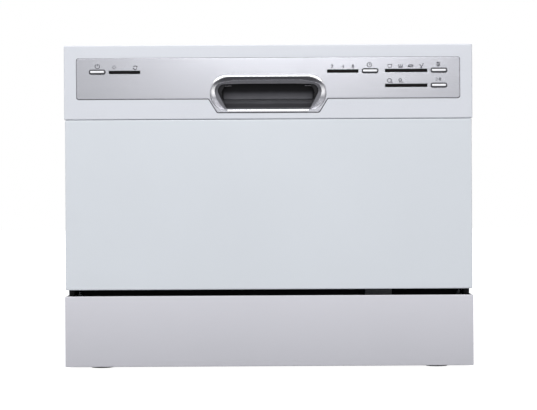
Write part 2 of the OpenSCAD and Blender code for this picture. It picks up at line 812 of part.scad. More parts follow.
// Stainless inner door with its pressed field and the slot for the hook
module door_inner_liner() {
  x = arm_x - seat;
  z = [door_z + 6, body_h - 8];
  field_x = ledge_x;
  field_z = [pivot_z + 39, tub_top - 28];
  press = 8;
  color("#b4b8be")
    difference() {
      union() {
        span([-x, x], [door_back - tub_t, door_back], z);
        both() span([x - tub_t, x], [door_back - 26, door_back], z);
        span([-x, x], [door_back - 22, door_back], [z[0], z[0] + tub_t]);
        span([-x, x], [door_back - 22, door_back], [z[1] - tub_t, z[1]]);
        span([-field_x - tub_t, field_x + tub_t], [door_back - press - tub_t, door_back],
             [field_z[0] - tub_t, field_z[1] + tub_t]);
      }
      span([-field_x, field_x], [door_back - press, door_back + eps], field_z);
      span([-84.3, 84.3], [door_back - press - 2, door_back], [disp_z[0] - seat, disp_z[1] + seat]);
      span([-9, 9], [door_back - 2, door_back + eps], [tub_top - 13, tub_top - 0.5]);
    }
}
disp_z = [pivot_z + 79, pivot_z + 186];

// White moulded fascia with the recess for the silver panel and bosses for the boards
module control_fascia() {
  depth = [door_face, door_back - 0.5];
  rib_y = board_y - 0.2;
  color("#dcdfe6")
    difference() {
      union() {
        difference() {
          span([-side_x, side_x], depth, [fascia_z, body_h]);
          span([-side_x + fascia_t, side_x - fascia_t], [door_face + fascia_t, door_back],
               [fascia_z + fascia_t, body_h - fascia_t]);
        }
        for (x = [-button_x - 14, -button_x + 56, delay_x - 56, button_x + 14])
          rod_y(3, x, [door_face + fascia_t - 0.1, rib_y], row_z - 10);
      }
      upright([door_face - eps, door_face + 0.8]) trim_outline(0.15);
      upright([door_face - eps, door_face + fascia_t + eps]) control_holes(0.5);
      upright([door_face - eps, door_face + fascia_t + eps]) recess_outline(2.6);
      span([-recess_w + 10, recess_w - 10], [door_face + fascia_t, door_back],
           [body_h - fascia_t - eps, body_h - fascia_t]);
      span([-arm_x - 2, arm_x + 2], [door_back - 28, door_back], [fascia_z - eps, fascia_z + fascia_t + eps]);
    }
}
board_y = door_face + 12;

// Brushed silver panel let into the fascia
module trim_panel() {
  color("#c0c1c5")
    difference() {
      upright([trim_face, trim_face + trim_t]) trim_outline();
      upright([trim_face - eps, trim_face + trim_t + eps]) recess_outline(2.6);
      upright([trim_face - eps, trim_face + trim_t + eps]) control_holes(0.25);
    }
}

// Bright bezel round the recess, with two steps down to its opening
module handle_bezel() {
  color("#c9cace")
    difference() {
      union() {
        upright([bezel_face, trim_face]) difference() {
          bezel_outline();
          bezel_outline(-2.2);
        }
        upright([bezel_face + 0.6, trim_face]) bezel_outline(-2.1);
        upright([trim_face, door_face + fascia_t]) recess_outline(2.3);
      }
      upright([bezel_face - eps, door_face + fascia_t + eps]) recess_outline();
    }
}

// Dark pocket behind the bezel, with bearings for the lever
module handle_cup() {
  y = [door_face + fascia_t + seat, door_face + recess_d];
  high = recess_top + 12.5;
  wide = recess_w + 4;
  color("#2c2d31")
    difference() {
      union() {
        difference() {
          union() {
            upright(y) recess_outline(3.4);
            span([-wide, wide], y, [recess_top - 14, high]);
          }
          upright([y[0] - eps, y[1] - 2]) recess_outline(1.4);
          span([-wide + 2, wide - 2], [y[0] + 1.6, y[1] - 2], [recess_top - 12, high - 2]);
        }
        both() span([52, 56], [lever_y - 5, y[1] - 1], [lever_z - 5, high - 1]);
      }
      rod_x(2 + run_fit, [-wide - eps, wide + eps], lever_y, lever_z);
      span([-6, 6], [lever_y - 4, lever_y + 6], [high - 3, high + eps]);
    }
}

// Lever behind the top of the recess; fingers pull its lower edge forward
module latch_lever() {
  low = recess_top - 19;
  color("#6e6f75") {
    span([-50, 50], [lever_y - 1.5, lever_y + 1.5], [low, lever_z - 3]);
    span([-50, 50], [lever_y - 1.5, lever_y + 4], [low, low + 3]);
    rod_x(3.2, [-50, 50], lever_y, lever_z);
    rod_x(2, [-57, 57], lever_y, lever_z);
    span([-4, 4], [lever_y - 1.5, lever_y + 1.5], [lever_z, tail_low + 2.5]);
    span([-4, 4], [lever_y - 1.5, hook_y - 4.5], [tail_low + 0.5, tail_low + 2.5]);
  }
}

// Housing of the door latch, screwed behind the pocket
module latch_housing() {
  y = [door_face + recess_d + seat, door_back - tub_t - seat];
  z = [hook_z - 12, hook_z + 10];
  color("#202124")
    difference() {
      span([-24, 24], y, z);
      span([-10, 10], [y[0] + 1.6, y[1] + eps], [z[0] - eps, z[1] - 1.6]);
      rod_x(2 + run_fit, [-13, 13], hook_y, hook_z);
    }
}

// Hook that reaches over the strike bar
module latch_hook() {
  tip = tub_y + 13;
  color("#b5b7ba") {
    rod_x(2, [-12.5, 12.5], hook_y, hook_z);
    rod_x(4, [-6, 6], hook_y, hook_z);
    span([-6, 6], [hook_y, tip], [hook_z - 0.8, hook_z + 2]);
    span([-6, 6], [tip - 2.5, tip], [hook_z - 1.2, hook_z + 2]);
    span([-3, 3], [hook_y - 2, hook_y + 2], [tail_low, hook_z]);
  }
}

// A push button: its cap and the stem that reaches for its switch
module push_button(at) {
  color("#f1f3f7")
    translate([at[0], 0, at[1]]) {
      upright([front_y, door_face + fascia_t + 0.6]) round_rect(button_w, button_h, 2.8);
      rod_y(2.4, 0, [door_face + fascia_t + 0.6, board_y - 3.6 - button_travel - 0.2], 0);
    }
}
module power_button() push_button(BUTTONS[0]);
module delay_button() push_button(BUTTONS[1]);
module program_button() push_button(BUTTONS[2]);
module start_button() push_button(BUTTONS[3]);

// Smoked windows over the indicator lights
module indicator_windows() {
  color("#17181a")
    for (at = WINDOWS)
      translate([at[0], 0, at[1]]) upright([trim_face, door_face + fascia_t + 1])
        round_rect(at[2], window_h, 1);
}

// Circuit boards behind the fascia, with the switches and the indicator lights
module control_board() {
  left = [-button_x - 20, -button_x + 62];
  right = [delay_x - 62, button_x + 20];
  color("#2e6b45") {
    span(left, [board_y, board_y + 1.6], [row_z - 14, row_z + 8]);
    span(right, [board_y, board_y + 1.6], [row_2_z - 8, row_z + 8]);
    for (at = BUTTONS) rod_y(3, at[0], [board_y - 3.6, board_y], at[1]);
    for (at = WINDOWS, i = [-1, 0, 1])
      span([at[0] + i * 13 - 2, at[0] + i * 13 + 2], [board_y - 3, board_y], [at[1] - 1.5, at[1] + 1.5]);
  }
}

// Detergent dispenser let into the inner door, with its cup, its rails and the rinse aid port
module dispenser_body() {
  y = [door_back - 20, door_back + 2.5];
  color("#c7cbd0")
    difference() {
      union() {
        span([-84, 84], y, disp_z);
        for (x = [-79, 15.4]) span([x, x + 3.6], [y[1], door_back + 6], [disp_z[0], disp_z[1]]);
      }
      span([-70, 10], [y[0] + 2, y[1] + eps], [disp_z[0] + 52, disp_z[1] - 7]);
      rod_y(12.5, rinse_at[0], [y[0] + 4, y[1] + eps], rinse_at[1]);
    }
}
rinse_at = [52, disp_z[0] + 70];

// Lid that slides down off the detergent cup
module dispenser_lid() {
  y = door_back + 2.5 + seat;
  z = [disp_z[0] + 50, disp_z[1] - 5];
  color("#a8adb3") {
    span([-75, 15], [y, y + 2.5], z);
    span([-50, -10], [y + 2.5, y + 5], [z[0] + 8, z[0] + 12]);
  }
}

// Quarter-turn cap of the rinse aid tank
module rinse_aid_cap() {
  y = door_back + 2.5 + seat;
  color("#54606c") {
    rod_y(12, rinse_at[0], [y - 6, y], rinse_at[1]);
    rod_y(18, rinse_at[0], [y, y + 3], rinse_at[1]);
    span([rinse_at[0] - 14, rinse_at[0] + 14], [y + 3, y + 6], [rinse_at[1] - 2, rinse_at[1] + 2]);
  }
}

// Screws through the inner door
module door_screws() {
  color("#85898d")
    for (x = [-1, 1], z = [0.12, 0.5, 0.88])
      rod_y(3.2, x * (tub_x - 10), [door_back, door_back + 1.3], lip_z + (tub_top - lip_z) * z);
}

/* ---- Basket ---- */

// Round rim loop
module wire_loop(x, y, z, r) {
  bend = 18;
  for (yy = y) rod_x(r, [x[0] + bend, x[1] - bend], yy, z);
  for (xx = x) rod_y(r, xx, [y[0] + bend, y[1] - bend], z);
  for (c = [[x[1] - bend, y[1] - bend, 0], [x[0] + bend, y[1] - bend, 90],
            [x[0] + bend, y[0] + bend, 180], [x[1] - bend, y[0] + bend, 270]])
    translate([c[0], c[1], z]) rotate([0, 0, c[2]])
      rotate_extrude(angle = 90) translate([bend, 0]) circle(r = r);
}

// Coated wires of the basket: floor, sides and rim, with the stubs of the wheels
module basket_wires() {
  low = basket_z;
  cross = basket_z + 2 * wire_r;
  weld = 0.05;
  side_top = rim_z - rim_r - weld;
  x_count = floor((basket_x - 12) / wire_pitch);
  y_count = floor((basket_back - basket_front - 24) / wire_pitch);
  y0 = (basket_front + basket_back) / 2 - y_count * wire_pitch / 2;
  wall_x = basket_x - wire_r;
  color("#8f949a") {
    wire_loop([-wall_x, wall_x], [basket_front + wire_r, basket_back - wire_r], rim_z, rim_r);
    for (i = [-x_count:x_count]) {
      rod_y(wire_r, i * wire_pitch, [basket_front, basket_back], low);
      for (y = [basket_front + wire_r, basket_back - wire_r])
        rod_z(wire_r, i * wire_pitch, y, [cross + wire_r + weld, side_top]);
    }
    for (i = [0:y_count]) {
      y = y0 + i * wire_pitch;
      rod_x(wire_r, [-basket_x, basket_x], y, cross + weld);
      for (x = [-wall_x, wall_x]) rod_z(wire_r, x, y, [cross + wire_r + 2 * weld, side_top]);
    }
    for (y = [basket_front + wire_r, basket_back - wire_r])
      rod_x(wire_r, [-basket_x + 6, basket_x - 6], y, cross + weld);
    both() {
      rod_y(wire_r, basket_x - 4.25, [basket_front, basket_back], low);
      for (y = [front_axle_y, rear_axle_y]) {
        span([basket_x - 6, basket_x - 2.5], [y - 5, y + 5], [axle_z - 5, basket_z - wire_r - weld]);
        rod_x(3, [basket_x - 2.5, ledge_x + 15 + wheel_w], y, axle_z);
      }
    }
  }
}

// Two rows of plate tines on their base wires
module plate_tines() {
  base = basket_z + 3 * wire_r + 0.1 + wire_r;
  color("#8f949a")
    for (x = [-tine_x - 30, -tine_x + 30, tine_x - 64]) {
      rod_y(wire_r, x, [basket_front + 24, basket_back - 24], base);
      for (y = [basket_front + 34:24:basket_back - 30])
        rod_z(wire_r, x, y, [base + wire_r + 0.05, base + tine_h]);
    }
}
tine_x = 90;

// Plastic cutlery basket with eight cells
module cutlery_basket() {
  x = [basket_x - 8 - cutlery_w, basket_x - 8];
  y = [basket_front + 10, basket_front + 10 + cutlery_l];
  z = [basket_z + 3 * wire_r + 0.1 + seat, basket_z + 3 * wire_r + 0.1 + seat + cutlery_h];
  wall = 2;
  cell_x = (cutlery_w - 3 * wall) / 2;
  cell_y = (cutlery_l - 5 * wall) / 4;
  color("#5d646b")
    difference() {
      span(x, y, z);
      for (i = [0, 1], j = [0:3])
        translate([x[0] + wall + i * (cell_x + wall), y[0] + wall + j * (cell_y + wall), z[0] + wall])
          cube([cell_x, cell_y, cutlery_h]);
      for (j = [0:3], k = [0:4])
        span([x[0] - eps, x[1] + eps],
             [y[0] + 8 + j * (cell_y + wall), y[0] + cell_y - 4 + j * (cell_y + wall)],
             [z[0] + 14 + k * 16, z[0] + 22 + k * 16]);
    }
}

// Fold-up shelf for cups, hinged on the left side of the basket
module cup_shelf() {
  color("#8f949a") {
    for (x = [shelf_x, shelf_x + 46, shelf_x + 92]) rod_y(wire_r, x, shelf_y, shelf_z);
    for (i = [0:8])
      rod_x(wire_r, [shelf_x - wire_r, shelf_x + 94], shelf_y[0] + 8 + i * (shelf_y[1] - shelf_y[0] - 16) / 8,
            shelf_z - 2 * wire_r - 0.05);
  }
}
shelf_x = -basket_x + 3 * wire_r + seat;
shelf_y = [-110, 140];
shelf_z = rim_z - 16;

// Wheels of one axle line, left and right
module wheel_pair(y) {
  color("#d5d8db")
    both()
      difference() {
        rod_x(wheel_r, [ledge_x + 15, ledge_x + 15 + wheel_w], y, axle_z);
        rod_x(3 + run_fit, [ledge_x + 15 - eps, ledge_x + 15 + wheel_w + eps], y, axle_z);
      }
}
module front_wheels() wheel_pair(front_axle_y);
module rear_wheels() wheel_pair(rear_axle_y);

// Spray arm: two hollow wings on a hub, with slanted nozzles
module spray_arm() {
  z = [hub_z + seat, hub_z + seat + arm_h];
  color("#d4d6d6")
    difference() {
      union() {
        rod_z(21, 0, sump_y, z);
        translate([0, sump_y, z[0]]) linear_extrude(arm_h)
          polygon(rounded([[-arm_r, -9], [-40, -19], [40, -19], [arm_r, -15], [arm_r, 9], [40, 19],
                           [-40, 19], [-arm_r, 15]], [8, 20, 20, 8, 8, 20, 20, 8]));
      }
      rod_z(hub_pin_r + run_fit, 0, sump_y, [z[0] - eps, z[1] + eps]);
      for (side = [-1, 1], i = [1:6])
        rod_z(1.8, side * (28 + i * 25), sump_y + side * (i % 2 == 0 ? 5 : -3), [z[1] - 3, z[1] + eps]);
    }
}

base_tray();
rubber_feet();
kick_panel();
left_side_panel();
right_side_panel();
top_panel();
back_panel();
cabinet_screws();
tub();
door_seal();
latch_strike();
hinge_brackets();
hinge_pins();
door_springs();
sump();
flat_filter();
heating_element();
wash_pump_housing();
wash_motor();
drain_pump();
softener();
air_break();
inlet_valve();
inlet_hoses();
drain_hose();
drain_connector();
cord_gland();
float_switch();
door_outer_panel();
door_inner_liner();
control_fascia();
trim_panel();
handle_bezel();
handle_cup();
latch_housing();
indicator_windows();
control_board();
dispenser_body();
hinge_arms();
door_screws();
latch_lever();
latch_hook();
power_button();
delay_button();
program_button();
start_button();
dispenser_lid();
rinse_aid_cap();
basket_wires();
plate_tines();
cutlery_basket();
cup_shelf();
front_wheels();
rear_wheels();
spray_arm();
filter_cup();
tub_float();
salt_cap();
wash_impeller();
drain_impeller();
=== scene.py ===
import math

import bmesh
import bpy
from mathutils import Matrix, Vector
from mathutils.geometry import tessellate_polygon


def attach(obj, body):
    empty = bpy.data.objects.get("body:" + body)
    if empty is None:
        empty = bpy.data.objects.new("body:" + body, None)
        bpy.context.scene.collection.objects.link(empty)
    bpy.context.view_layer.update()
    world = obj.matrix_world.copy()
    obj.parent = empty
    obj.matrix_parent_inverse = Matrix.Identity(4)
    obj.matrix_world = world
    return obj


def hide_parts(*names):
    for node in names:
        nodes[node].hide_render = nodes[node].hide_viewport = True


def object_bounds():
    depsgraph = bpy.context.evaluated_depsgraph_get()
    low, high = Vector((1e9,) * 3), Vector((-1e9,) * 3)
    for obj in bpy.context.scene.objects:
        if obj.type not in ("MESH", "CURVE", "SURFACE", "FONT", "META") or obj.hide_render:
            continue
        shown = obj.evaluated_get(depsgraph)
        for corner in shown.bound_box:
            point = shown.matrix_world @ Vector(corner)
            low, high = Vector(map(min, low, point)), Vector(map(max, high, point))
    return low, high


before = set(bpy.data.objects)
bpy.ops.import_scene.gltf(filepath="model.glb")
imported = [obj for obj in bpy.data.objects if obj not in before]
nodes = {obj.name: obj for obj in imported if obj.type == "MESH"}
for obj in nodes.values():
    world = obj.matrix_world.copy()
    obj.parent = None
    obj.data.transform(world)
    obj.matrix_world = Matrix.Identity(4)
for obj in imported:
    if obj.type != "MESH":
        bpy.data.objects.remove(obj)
cad_box = [list(corner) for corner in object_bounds()]

# ---- Camera ----
# A long lens straight in front of the door, level with the middle of the machine.
# The picture is 537 pixels wide for 723 mm, and leans by a third of a degree.
DOOR_FACE = -0.248
camera_distance = 2.5
picture_width = 537 * 0.0013464
lens_data = bpy.data.cameras.new("front_camera")
lens_data.sensor_width = 36.0
lens_data.sensor_fit = "HORIZONTAL"
lens_data.lens = 36.0 * camera_distance / picture_width
lens_data.clip_end = 60.0
camera = bpy.data.objects.new("front_camera", lens_data)
camera.location = (-0.0003, DOOR_FACE - camera_distance, 0.2221)
camera.rotation_euler = (math.radians(90), math.radians(0.3), 0)
bpy.context.scene.collection.objects.link(camera)
bpy.context.scene.camera = camera
bpy.context.scene.view_settings.view_transform = "Standard"

# ---- Studio ----
# Matt white paper on the floor, a large soft lamp over the front, a small one beside the
# camera that the brushed metal picks up, and weak light from all round.


def linear(code):
    """Turn an sRGB hex colour into the linear colour that a shader takes."""
    parts = [int(code[i:i + 2], 16) / 255 for i in (1, 3, 5)]
    return tuple(p / 12.92 if p <= 0.04045 else ((p + 0.055) / 1.055) ** 2.4 for p in parts) + (1.0,)


def add_node(tree, kind, values=None, links=None, stops=(), **settings):
    """Add one shader node with its settings and input values, and link what feeds it: another
    node by its first output, or one output of a node. Stops are a colour ramp's pairs of a
    position from 0 to 1 and a linear colour."""
    node = tree.nodes.new("ShaderNode" + kind)
    for key, value in settings.items():
        setattr(node, key, value)
    for key, value in (values or {}).items():
        node.inputs[key].default_value = value
    for key, source in (links or {}).items():
        tree.links.new(getattr(source, "outputs", [source])[0], node.inputs[key])
    for i, (position, colour) in enumerate(stops):
        if i > 1:
            node.color_ramp.elements.new(position)
        node.color_ramp.elements[i].position = position
        node.color_ramp.elements[i].color = colour
    return node


def empty_material(name):
    """A material with nothing in it but the object's own coordinates, in metres."""
    material = bpy.data.materials.new(name)
    material.use_nodes = True
    tree = material.node_tree
    tree.nodes.clear()
    return material, tree, add_node(tree, "TexCoord").outputs["Object"]


# Paper: a pale matt grey-white that takes the object's shadow; to the camera it is lifted so
# that it is plain white wherever nothing shades it.
paper, tree, place = empty_material("matt_white_paper")
fibres = add_node(tree, "TexNoise", {"Scale": 90.0, "Detail": 4.0}, {"Vector": place})
shade = add_node(tree, "MixRGB", {"Color1": linear("#B0B0B2"), "Color2": linear("#B8B8BA")},
                 {"Fac": fibres})
matt = add_node(tree, "BsdfDiffuse", links={"Color": shade})
seen = add_node(tree, "LightPath")
lift = add_node(tree, "Emission", {"Color": (1, 1, 1, 1)}, {"Strength": seen.outputs["Is Camera Ray"]})
lit = add_node(tree, "AddShader", links={0: matt, 1: lift})
add_node(tree, "OutputMaterial", links={"Surface": lit})

floor_mesh = bpy.data.meshes.new("studio_floor")
floor_mesh.from_pydata([(-14, -14, 0), (14, -14, 0), (14, 14, 0), (-14, 14, 0)], [], [(0, 1, 2, 3)])
floor_mesh.materials.append(paper)
studio_floor = bpy.data.objects.new("studio_floor", floor_mesh)
bpy.context.scene.collection.objects.link(studio_floor)

# World: weak white light on the object, and plain white wherever it is seen, mirrored or
# looked at through glass.
world = bpy.data.worlds.new("studio_surround")
bpy.context.scene.world = world
world.use_nodes = True
tree = world.node_tree
tree.nodes.clear()
seen = add_node(tree, "LightPath")
direct = add_node(tree, "Math", links={0: seen.outputs["Is Camera Ray"], 1: seen.outputs["Is Glossy Ray"]},
                  operation="ADD")
shown = add_node(tree, "Math", links={0: direct, 1: seen.outputs["Is Transmission Ray"]},
                 operation="ADD", use_clamp=True)
level = add_node(tree, "Mix", {"A": 0.46, "B": 1.0}, {"Factor": shown}, data_type="FLOAT")
sky = add_node(tree, "Background", {"Color": (1, 1, 1, 1)}, {"Strength": level})
add_node(tree, "OutputWorld", links={"Surface": sky})


def soft_lamp(name, spot, target, size, watts):
    """A rectangular soft lamp that looks at a point."""
    data = bpy.data.lights.new(name, "AREA")
    data.shape = "RECTANGLE"
    data.size, data.size_y = size
    data.energy = watts
    lamp = bpy.data.objects.new(name, data)
    lamp.location = spot
    lamp.rotation_euler = (Vector(target) - Vector(spot)).to_track_quat("-Z", "Y").to_euler()
    bpy.context.scene.collection.objects.link(lamp)


soft_lamp("top_lamp", (-0.2, 0.1, 2.3), (-0.1, 0.0, 0.3), (2.2, 1.4), 10)
soft_lamp("overhead_lamp", (-0.25, -1.75, 1.95), (0, -0.2, 0.3), (2.8, 1.7), 42.5)
soft_lamp("front_lamp", (0.07, -3.0, 0.97), (0.07, -0.2, 0.6), (0.68, 0.34), 5.7)

# ---- Base tray and feet ----
# The tray is one black polypropylene moulding that carries the pumps, softener and hinges.
# Four turned rubber feet are pushed into its floor.
MM = 0.001


def lighter(colour, factor):
    """A hex colour in linear light, made lighter or darker by a factor."""
    return tuple(min(1.0, part * factor) for part in linear(colour)[:3]) + (1.0,)


def grained_surface(material, tree, colour, pattern, roughness, strength, depth_mm, values):
    """Close a material: one pattern moves the gloss between two values and raises the surface."""
    gloss = add_node(tree, "MapRange", {"From Min": 0.3, "From Max": 0.7, "To Min": roughness[0],
                                        "To Max": roughness[1]}, {"Value": pattern})
    relief = add_node(tree, "Bump", {"Strength": strength, "Distance": depth_mm * MM}, {"Height": pattern})
    skin = add_node(tree, "BsdfPrincipled", values,
                    {"Base Color": colour, "Roughness": gloss, "Normal": relief})
    add_node(tree, "OutputMaterial", links={"Surface": skin})
    return material


def textured(name, colour, roughness, grain_mm, depth_mm=0.04, ior=1.5, spread=0.06, mirror=0.5):
    """Moulded or coated finish: a fine all-over grain that breaks up colour, gloss and relief."""
    material, tree, place = empty_material(name)
    grain = add_node(tree, "TexNoise", {"Scale": 0.6 / (grain_mm * MM), "Detail": 3.0}, {"Vector": place})
    cloud = add_node(tree, "TexNoise", {"Scale": 9.0, "Detail": 2.0}, {"Vector": place})
    mottle = add_node(tree, "Math", links={0: grain, 1: cloud}, operation="ADD")
    shade = add_node(tree, "ValToRGB", links={"Fac": mottle},
                     stops=[(0.75, lighter(colour, 1 - spread)), (1.0, lighter(colour, 1 + spread))])
    return grained_surface(material, tree, shade, grain, (roughness - 0.05, roughness + 0.05), 0.5, depth_mm,
                           {"IOR": ior, "Specular IOR Level": mirror})


def dress(material, names, radius_mm=0.4):
    """Give solids of the frame a finish, and break their edges as moulding or deburring does."""
    for name in names:
        solid = nodes[name]
        for part in solid.material_slots:
            part.material = material
        if radius_mm:
            weld = solid.modifiers.new("joined_corners", "WELD")
            weld.merge_threshold = 0.000002
            edge = solid.modifiers.new("broken_edges", "BEVEL")
            edge.width = radius_mm * MM
            edge.segments = 2
            edge.limit_method = "ANGLE"
            edge.angle_limit = math.radians(40)
            even = solid.modifiers.new("even_faces", "WEIGHTED_NORMAL")
            even.keep_sharp = True


def finish_piece(name, shape, materials, body, replaced=(), sharp=38):
    """Turn a bmesh into a named piece that rides on a body and stands for its solids."""
    bmesh.ops.remove_doubles(shape, verts=shape.verts, dist=0.0000005)
    bmesh.ops.recalc_face_normals(shape, faces=shape.faces)
    mesh = bpy.data.meshes.new(name)
    shape.to_mesh(mesh)
    shape.free()
    for material in materials:
        mesh.materials.append(material)
    mesh.shade_smooth()
    mesh.set_sharp_from_angle(angle=math.radians(sharp))
    piece = bpy.data.objects.new(name, mesh)
    bpy.context.scene.collection.objects.link(piece)
    even = piece.modifiers.new("even_faces", "WEIGHTED_NORMAL")
    even.keep_sharp = True
    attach(piece, body)
    if replaced:
        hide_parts(*replaced)


def add_turned(shape, profile, centre, axis="z", steps=40):
    """Spin a profile of (radius, height) pairs, in mm, about an axis through a point."""
    turn = {"x": lambda r, a, h: (h, r * math.cos(a), r * math.sin(a)),
            "y": lambda r, a, h: (r * math.cos(a), h, r * math.sin(a)),
            "z": lambda r, a, h: (r * math.cos(a), r * math.sin(a), h)}[axis]
    rings = []
    for radius, height in profile:
        count = 1 if radius == 0 else steps
        spots = [turn(radius, 2 * math.pi * i / steps, height) for i in range(count)]
        rings.append([shape.verts.new((Vector(centre) + Vector(s)) * MM) for s in spots])
    for lower, upper in zip(rings, rings[1:]):
        for i in range(steps):
            j = (i + 1) % steps
            corners = [lower[i % len(lower)], lower[j % len(lower)], upper[j % len(upper)],
                       upper[i % len(upper)]]
            corners = list(dict.fromkeys(corners))
            if len(corners) > 2:
                shape.faces.new(corners)


# Black polypropylene: satin, with a spark-eroded grain of about 0.8 mm, drawn at 1.6 mm.
black_polypropylene = textured("black_polypropylene", "#19191B", 0.6, 1.6, mirror=0.2)
dress(black_polypropylene, ["base_tray"], 0.8)

# Non-marking grey rubber: no gloss, a dusty bloom.
foot_rubber = textured("foot_rubber", "#9A9A9E", 0.82, 2.2, 0.06)
shape = bmesh.new()
for x in (-230, 230):
    for y in (-190, 190):
        add_turned(shape, [(0, 1.6), (4, 1.6), (4.6, 0.2), (7.6, 0.2), (8.2, 1.4), (9.8, 1.4), (10.4, 0.2),
                           (15, 0), (16, 1), (16, 3.6), (15, 5), (4.9, 5), (4.9, 9.4), (3.6, 10.5),
                           (0, 10.5)], (x, y, 0))
finish_piece("moulded_feet", shape, [foot_rubber], "root", ["rubber_feet"])

# ---- Kick panel ----
# Painted steel sheet under the door, with its upper edge rolled back. A clip near each end
# holds it to the tray.


def rounded(points, radii, steps=8):
    """Turn corner points into an outline whose corners are arcs of their own radius."""
    outline = []
    count = len(points)
    for i in range(count):
        here = Vector(points[i])
        to_last = (Vector(points[i - 1]) - here).normalized()
        to_next = (Vector(points[(i + 1) % count]) - here).normalized()
        radius = radii[i] if isinstance(radii, (list, tuple)) else radii
        half = to_last.angle(to_next) / 2
        middle = here + (to_last + to_next).normalized() * radius / math.sin(half)
        first = here + to_last * radius / math.tan(half) - middle
        last = here + to_next * radius / math.tan(half) - middle
        start = math.atan2(first.y, first.x)
        sweep = (math.atan2(last.y, last.x) - start + 3 * math.pi) % (2 * math.pi) - math.pi
        for k in range(steps + 1):
            angle = start + sweep * k / steps
            outline.append(middle + Vector((math.cos(angle), math.sin(angle))) * radius)
    return outline


def box_outline(u, v, radius, steps=8):
    """A rectangle with round corners, given by its two ranges."""
    return rounded([(u[0], v[0]), (u[1], v[0]), (u[1], v[1]), (u[0], v[1])], radius, steps)


def bar_outline(x, z, half_x, half_z, radius, steps=6):
    """A bar with round corners, given by its centre and half sizes."""
    return box_outline((x - half_x, x + half_x), (z - half_z, z + half_z), radius, steps)


def grown(outline, distance):
    """Move every point of a closed outline outwards, or inwards where the distance is negative."""
    count = len(outline)
    area = sum(outline[i - 1].cross(outline[i]) for i in range(count))
    moved = []
    for i in range(count):
        along_1 = (outline[i] - outline[i - 1]).normalized()
        along_2 = (outline[(i + 1) % count] - outline[i]).normalized()
        out_1 = Vector((along_1.y, -along_1.x))
        out_2 = Vector((along_2.y, -along_2.x))
        out = (out_1 + out_2).normalized()
        stretch = distance / max(0.4, out.dot(out_1))
        moved.append(outline[i] + out * (stretch if area > 0 else -stretch))
    return moved


# For each side of the machine: where a point goes that lies (across, up) on a face and some way
# behind it.
FACING = {
    "front": lambda face: (lambda u, v, w: Vector((u, face + w, v)) * MM),
    "back": lambda face: (lambda u, v, w: Vector((u, face - w, v)) * MM),
    "top": lambda face: (lambda u, v, w: Vector((u, v, face - w)) * MM),
    "right": lambda face: (lambda u, v, w: Vector((face - w, u, v)) * MM),
    "left": lambda face: (lambda u, v, w: Vector((face + w, u, v)) * MM)}


def add_ring(shape, put, outline, depth):
    """Place an outline at one depth behind a face, or at a depth that depends on the point."""
    if not callable(depth):
        return [shape.verts.new(put(p.x, p.y, depth)) for p in outline]
    return [shape.verts.new(put(p.x, p.y, depth(p.x, p.y))) for p in outline]


def join_rings(shape, one, two, skin=0):
    """Span a band of faces between two rings of as many corners."""
    count = len(one)
    for i in range(count):
        j = (i + 1) % count
        shape.faces.new((one[i], one[j], two[j], two[i])).material_index = skin


def fill_between(shape, loops, skin=0):
    """Close the flat area inside the first loop and outside the others: outlines with their rings."""
    corners = [corner for outline, ring in loops for corner in ring]
    flat = [[Vector((p.x, p.y, 0)) for p in outline] for outline, ring in loops]
    for triangle in tessellate_polygon(flat):
        shape.faces.new([corners[i] for i in triangle]).material_index = skin


def rolled_edge(shape, put, outline, radius, arc):
    """Round the front edge of a hole, or of a rim where the radius is negative. Returns the loop
    that lies in the face, and the last ring."""
    loops = []
    for k in range(arc + 1):
        angle = math.pi / 2 * k / arc
        shift = radius * (1 - math.sin(angle))
        level = grown(outline, shift) if abs(shift) > 1e-6 else outline
        loops.append((level, add_ring(shape, put, level, abs(radius) * (1 - math.cos(angle)))))
    for one, two in zip(loops, loops[1:]):
        join_rings(shape, one[1], two[1])
    return loops[0], loops[-1][1]


def add_pressing(shape, side, face, outer, holes=(), sheet=0.8, edge=0.8, hole_edge=0.2, rim=None, arc=4):
    """A sheet with rounded edges and holes. With a rim it is folded back all round to that depth."""
    put = FACING[side](face)
    front, last = rolled_edge(shape, put, outer, -edge, arc)
    fronts = [front]
    outline = outer
    if rim:
        ring = add_ring(shape, put, outer, rim)
        join_rings(shape, last, ring)
        outline = grown(outer, -sheet)
        last = [shape.verts.new(put(q.x, q.y, rim(p.x, p.y))) for p, q in zip(outer, outline)]
        join_rings(shape, ring, last)
    backs = [(outline, add_ring(shape, put, outline, sheet))]
    join_rings(shape, last, backs[0][1])
    for hole in holes:
        front, last = rolled_edge(shape, put, hole, hole_edge, arc)
        fronts.append(front)
        backs.append((hole, add_ring(shape, put, hole, sheet)))
        join_rings(shape, last, backs[-1][1])
    fill_between(shape, fronts)
    fill_between(shape, backs)


def add_block(shape, one, other, radius=0.5, skin=0, steps=2):
    """A solid bar or pad between two opposite corners, with rounded edges."""
    made = bmesh.ops.create_cube(shape, size=1.0)["verts"]
    for corner in made:
        corner.co = Vector([((a + b) / 2 + abs(b - a) * c) * MM for a, b, c in zip(one, other, corner.co)])
    edges = list({edge for corner in made for edge in corner.link_edges})
    faces = list({face for corner in made for face in corner.link_faces})
    for face in faces:
        face.material_index = skin
    bmesh.ops.bevel(shape, geom=edges, offset=radius * MM, segments=steps, profile=0.5, affect="EDGES",
                    material=skin)


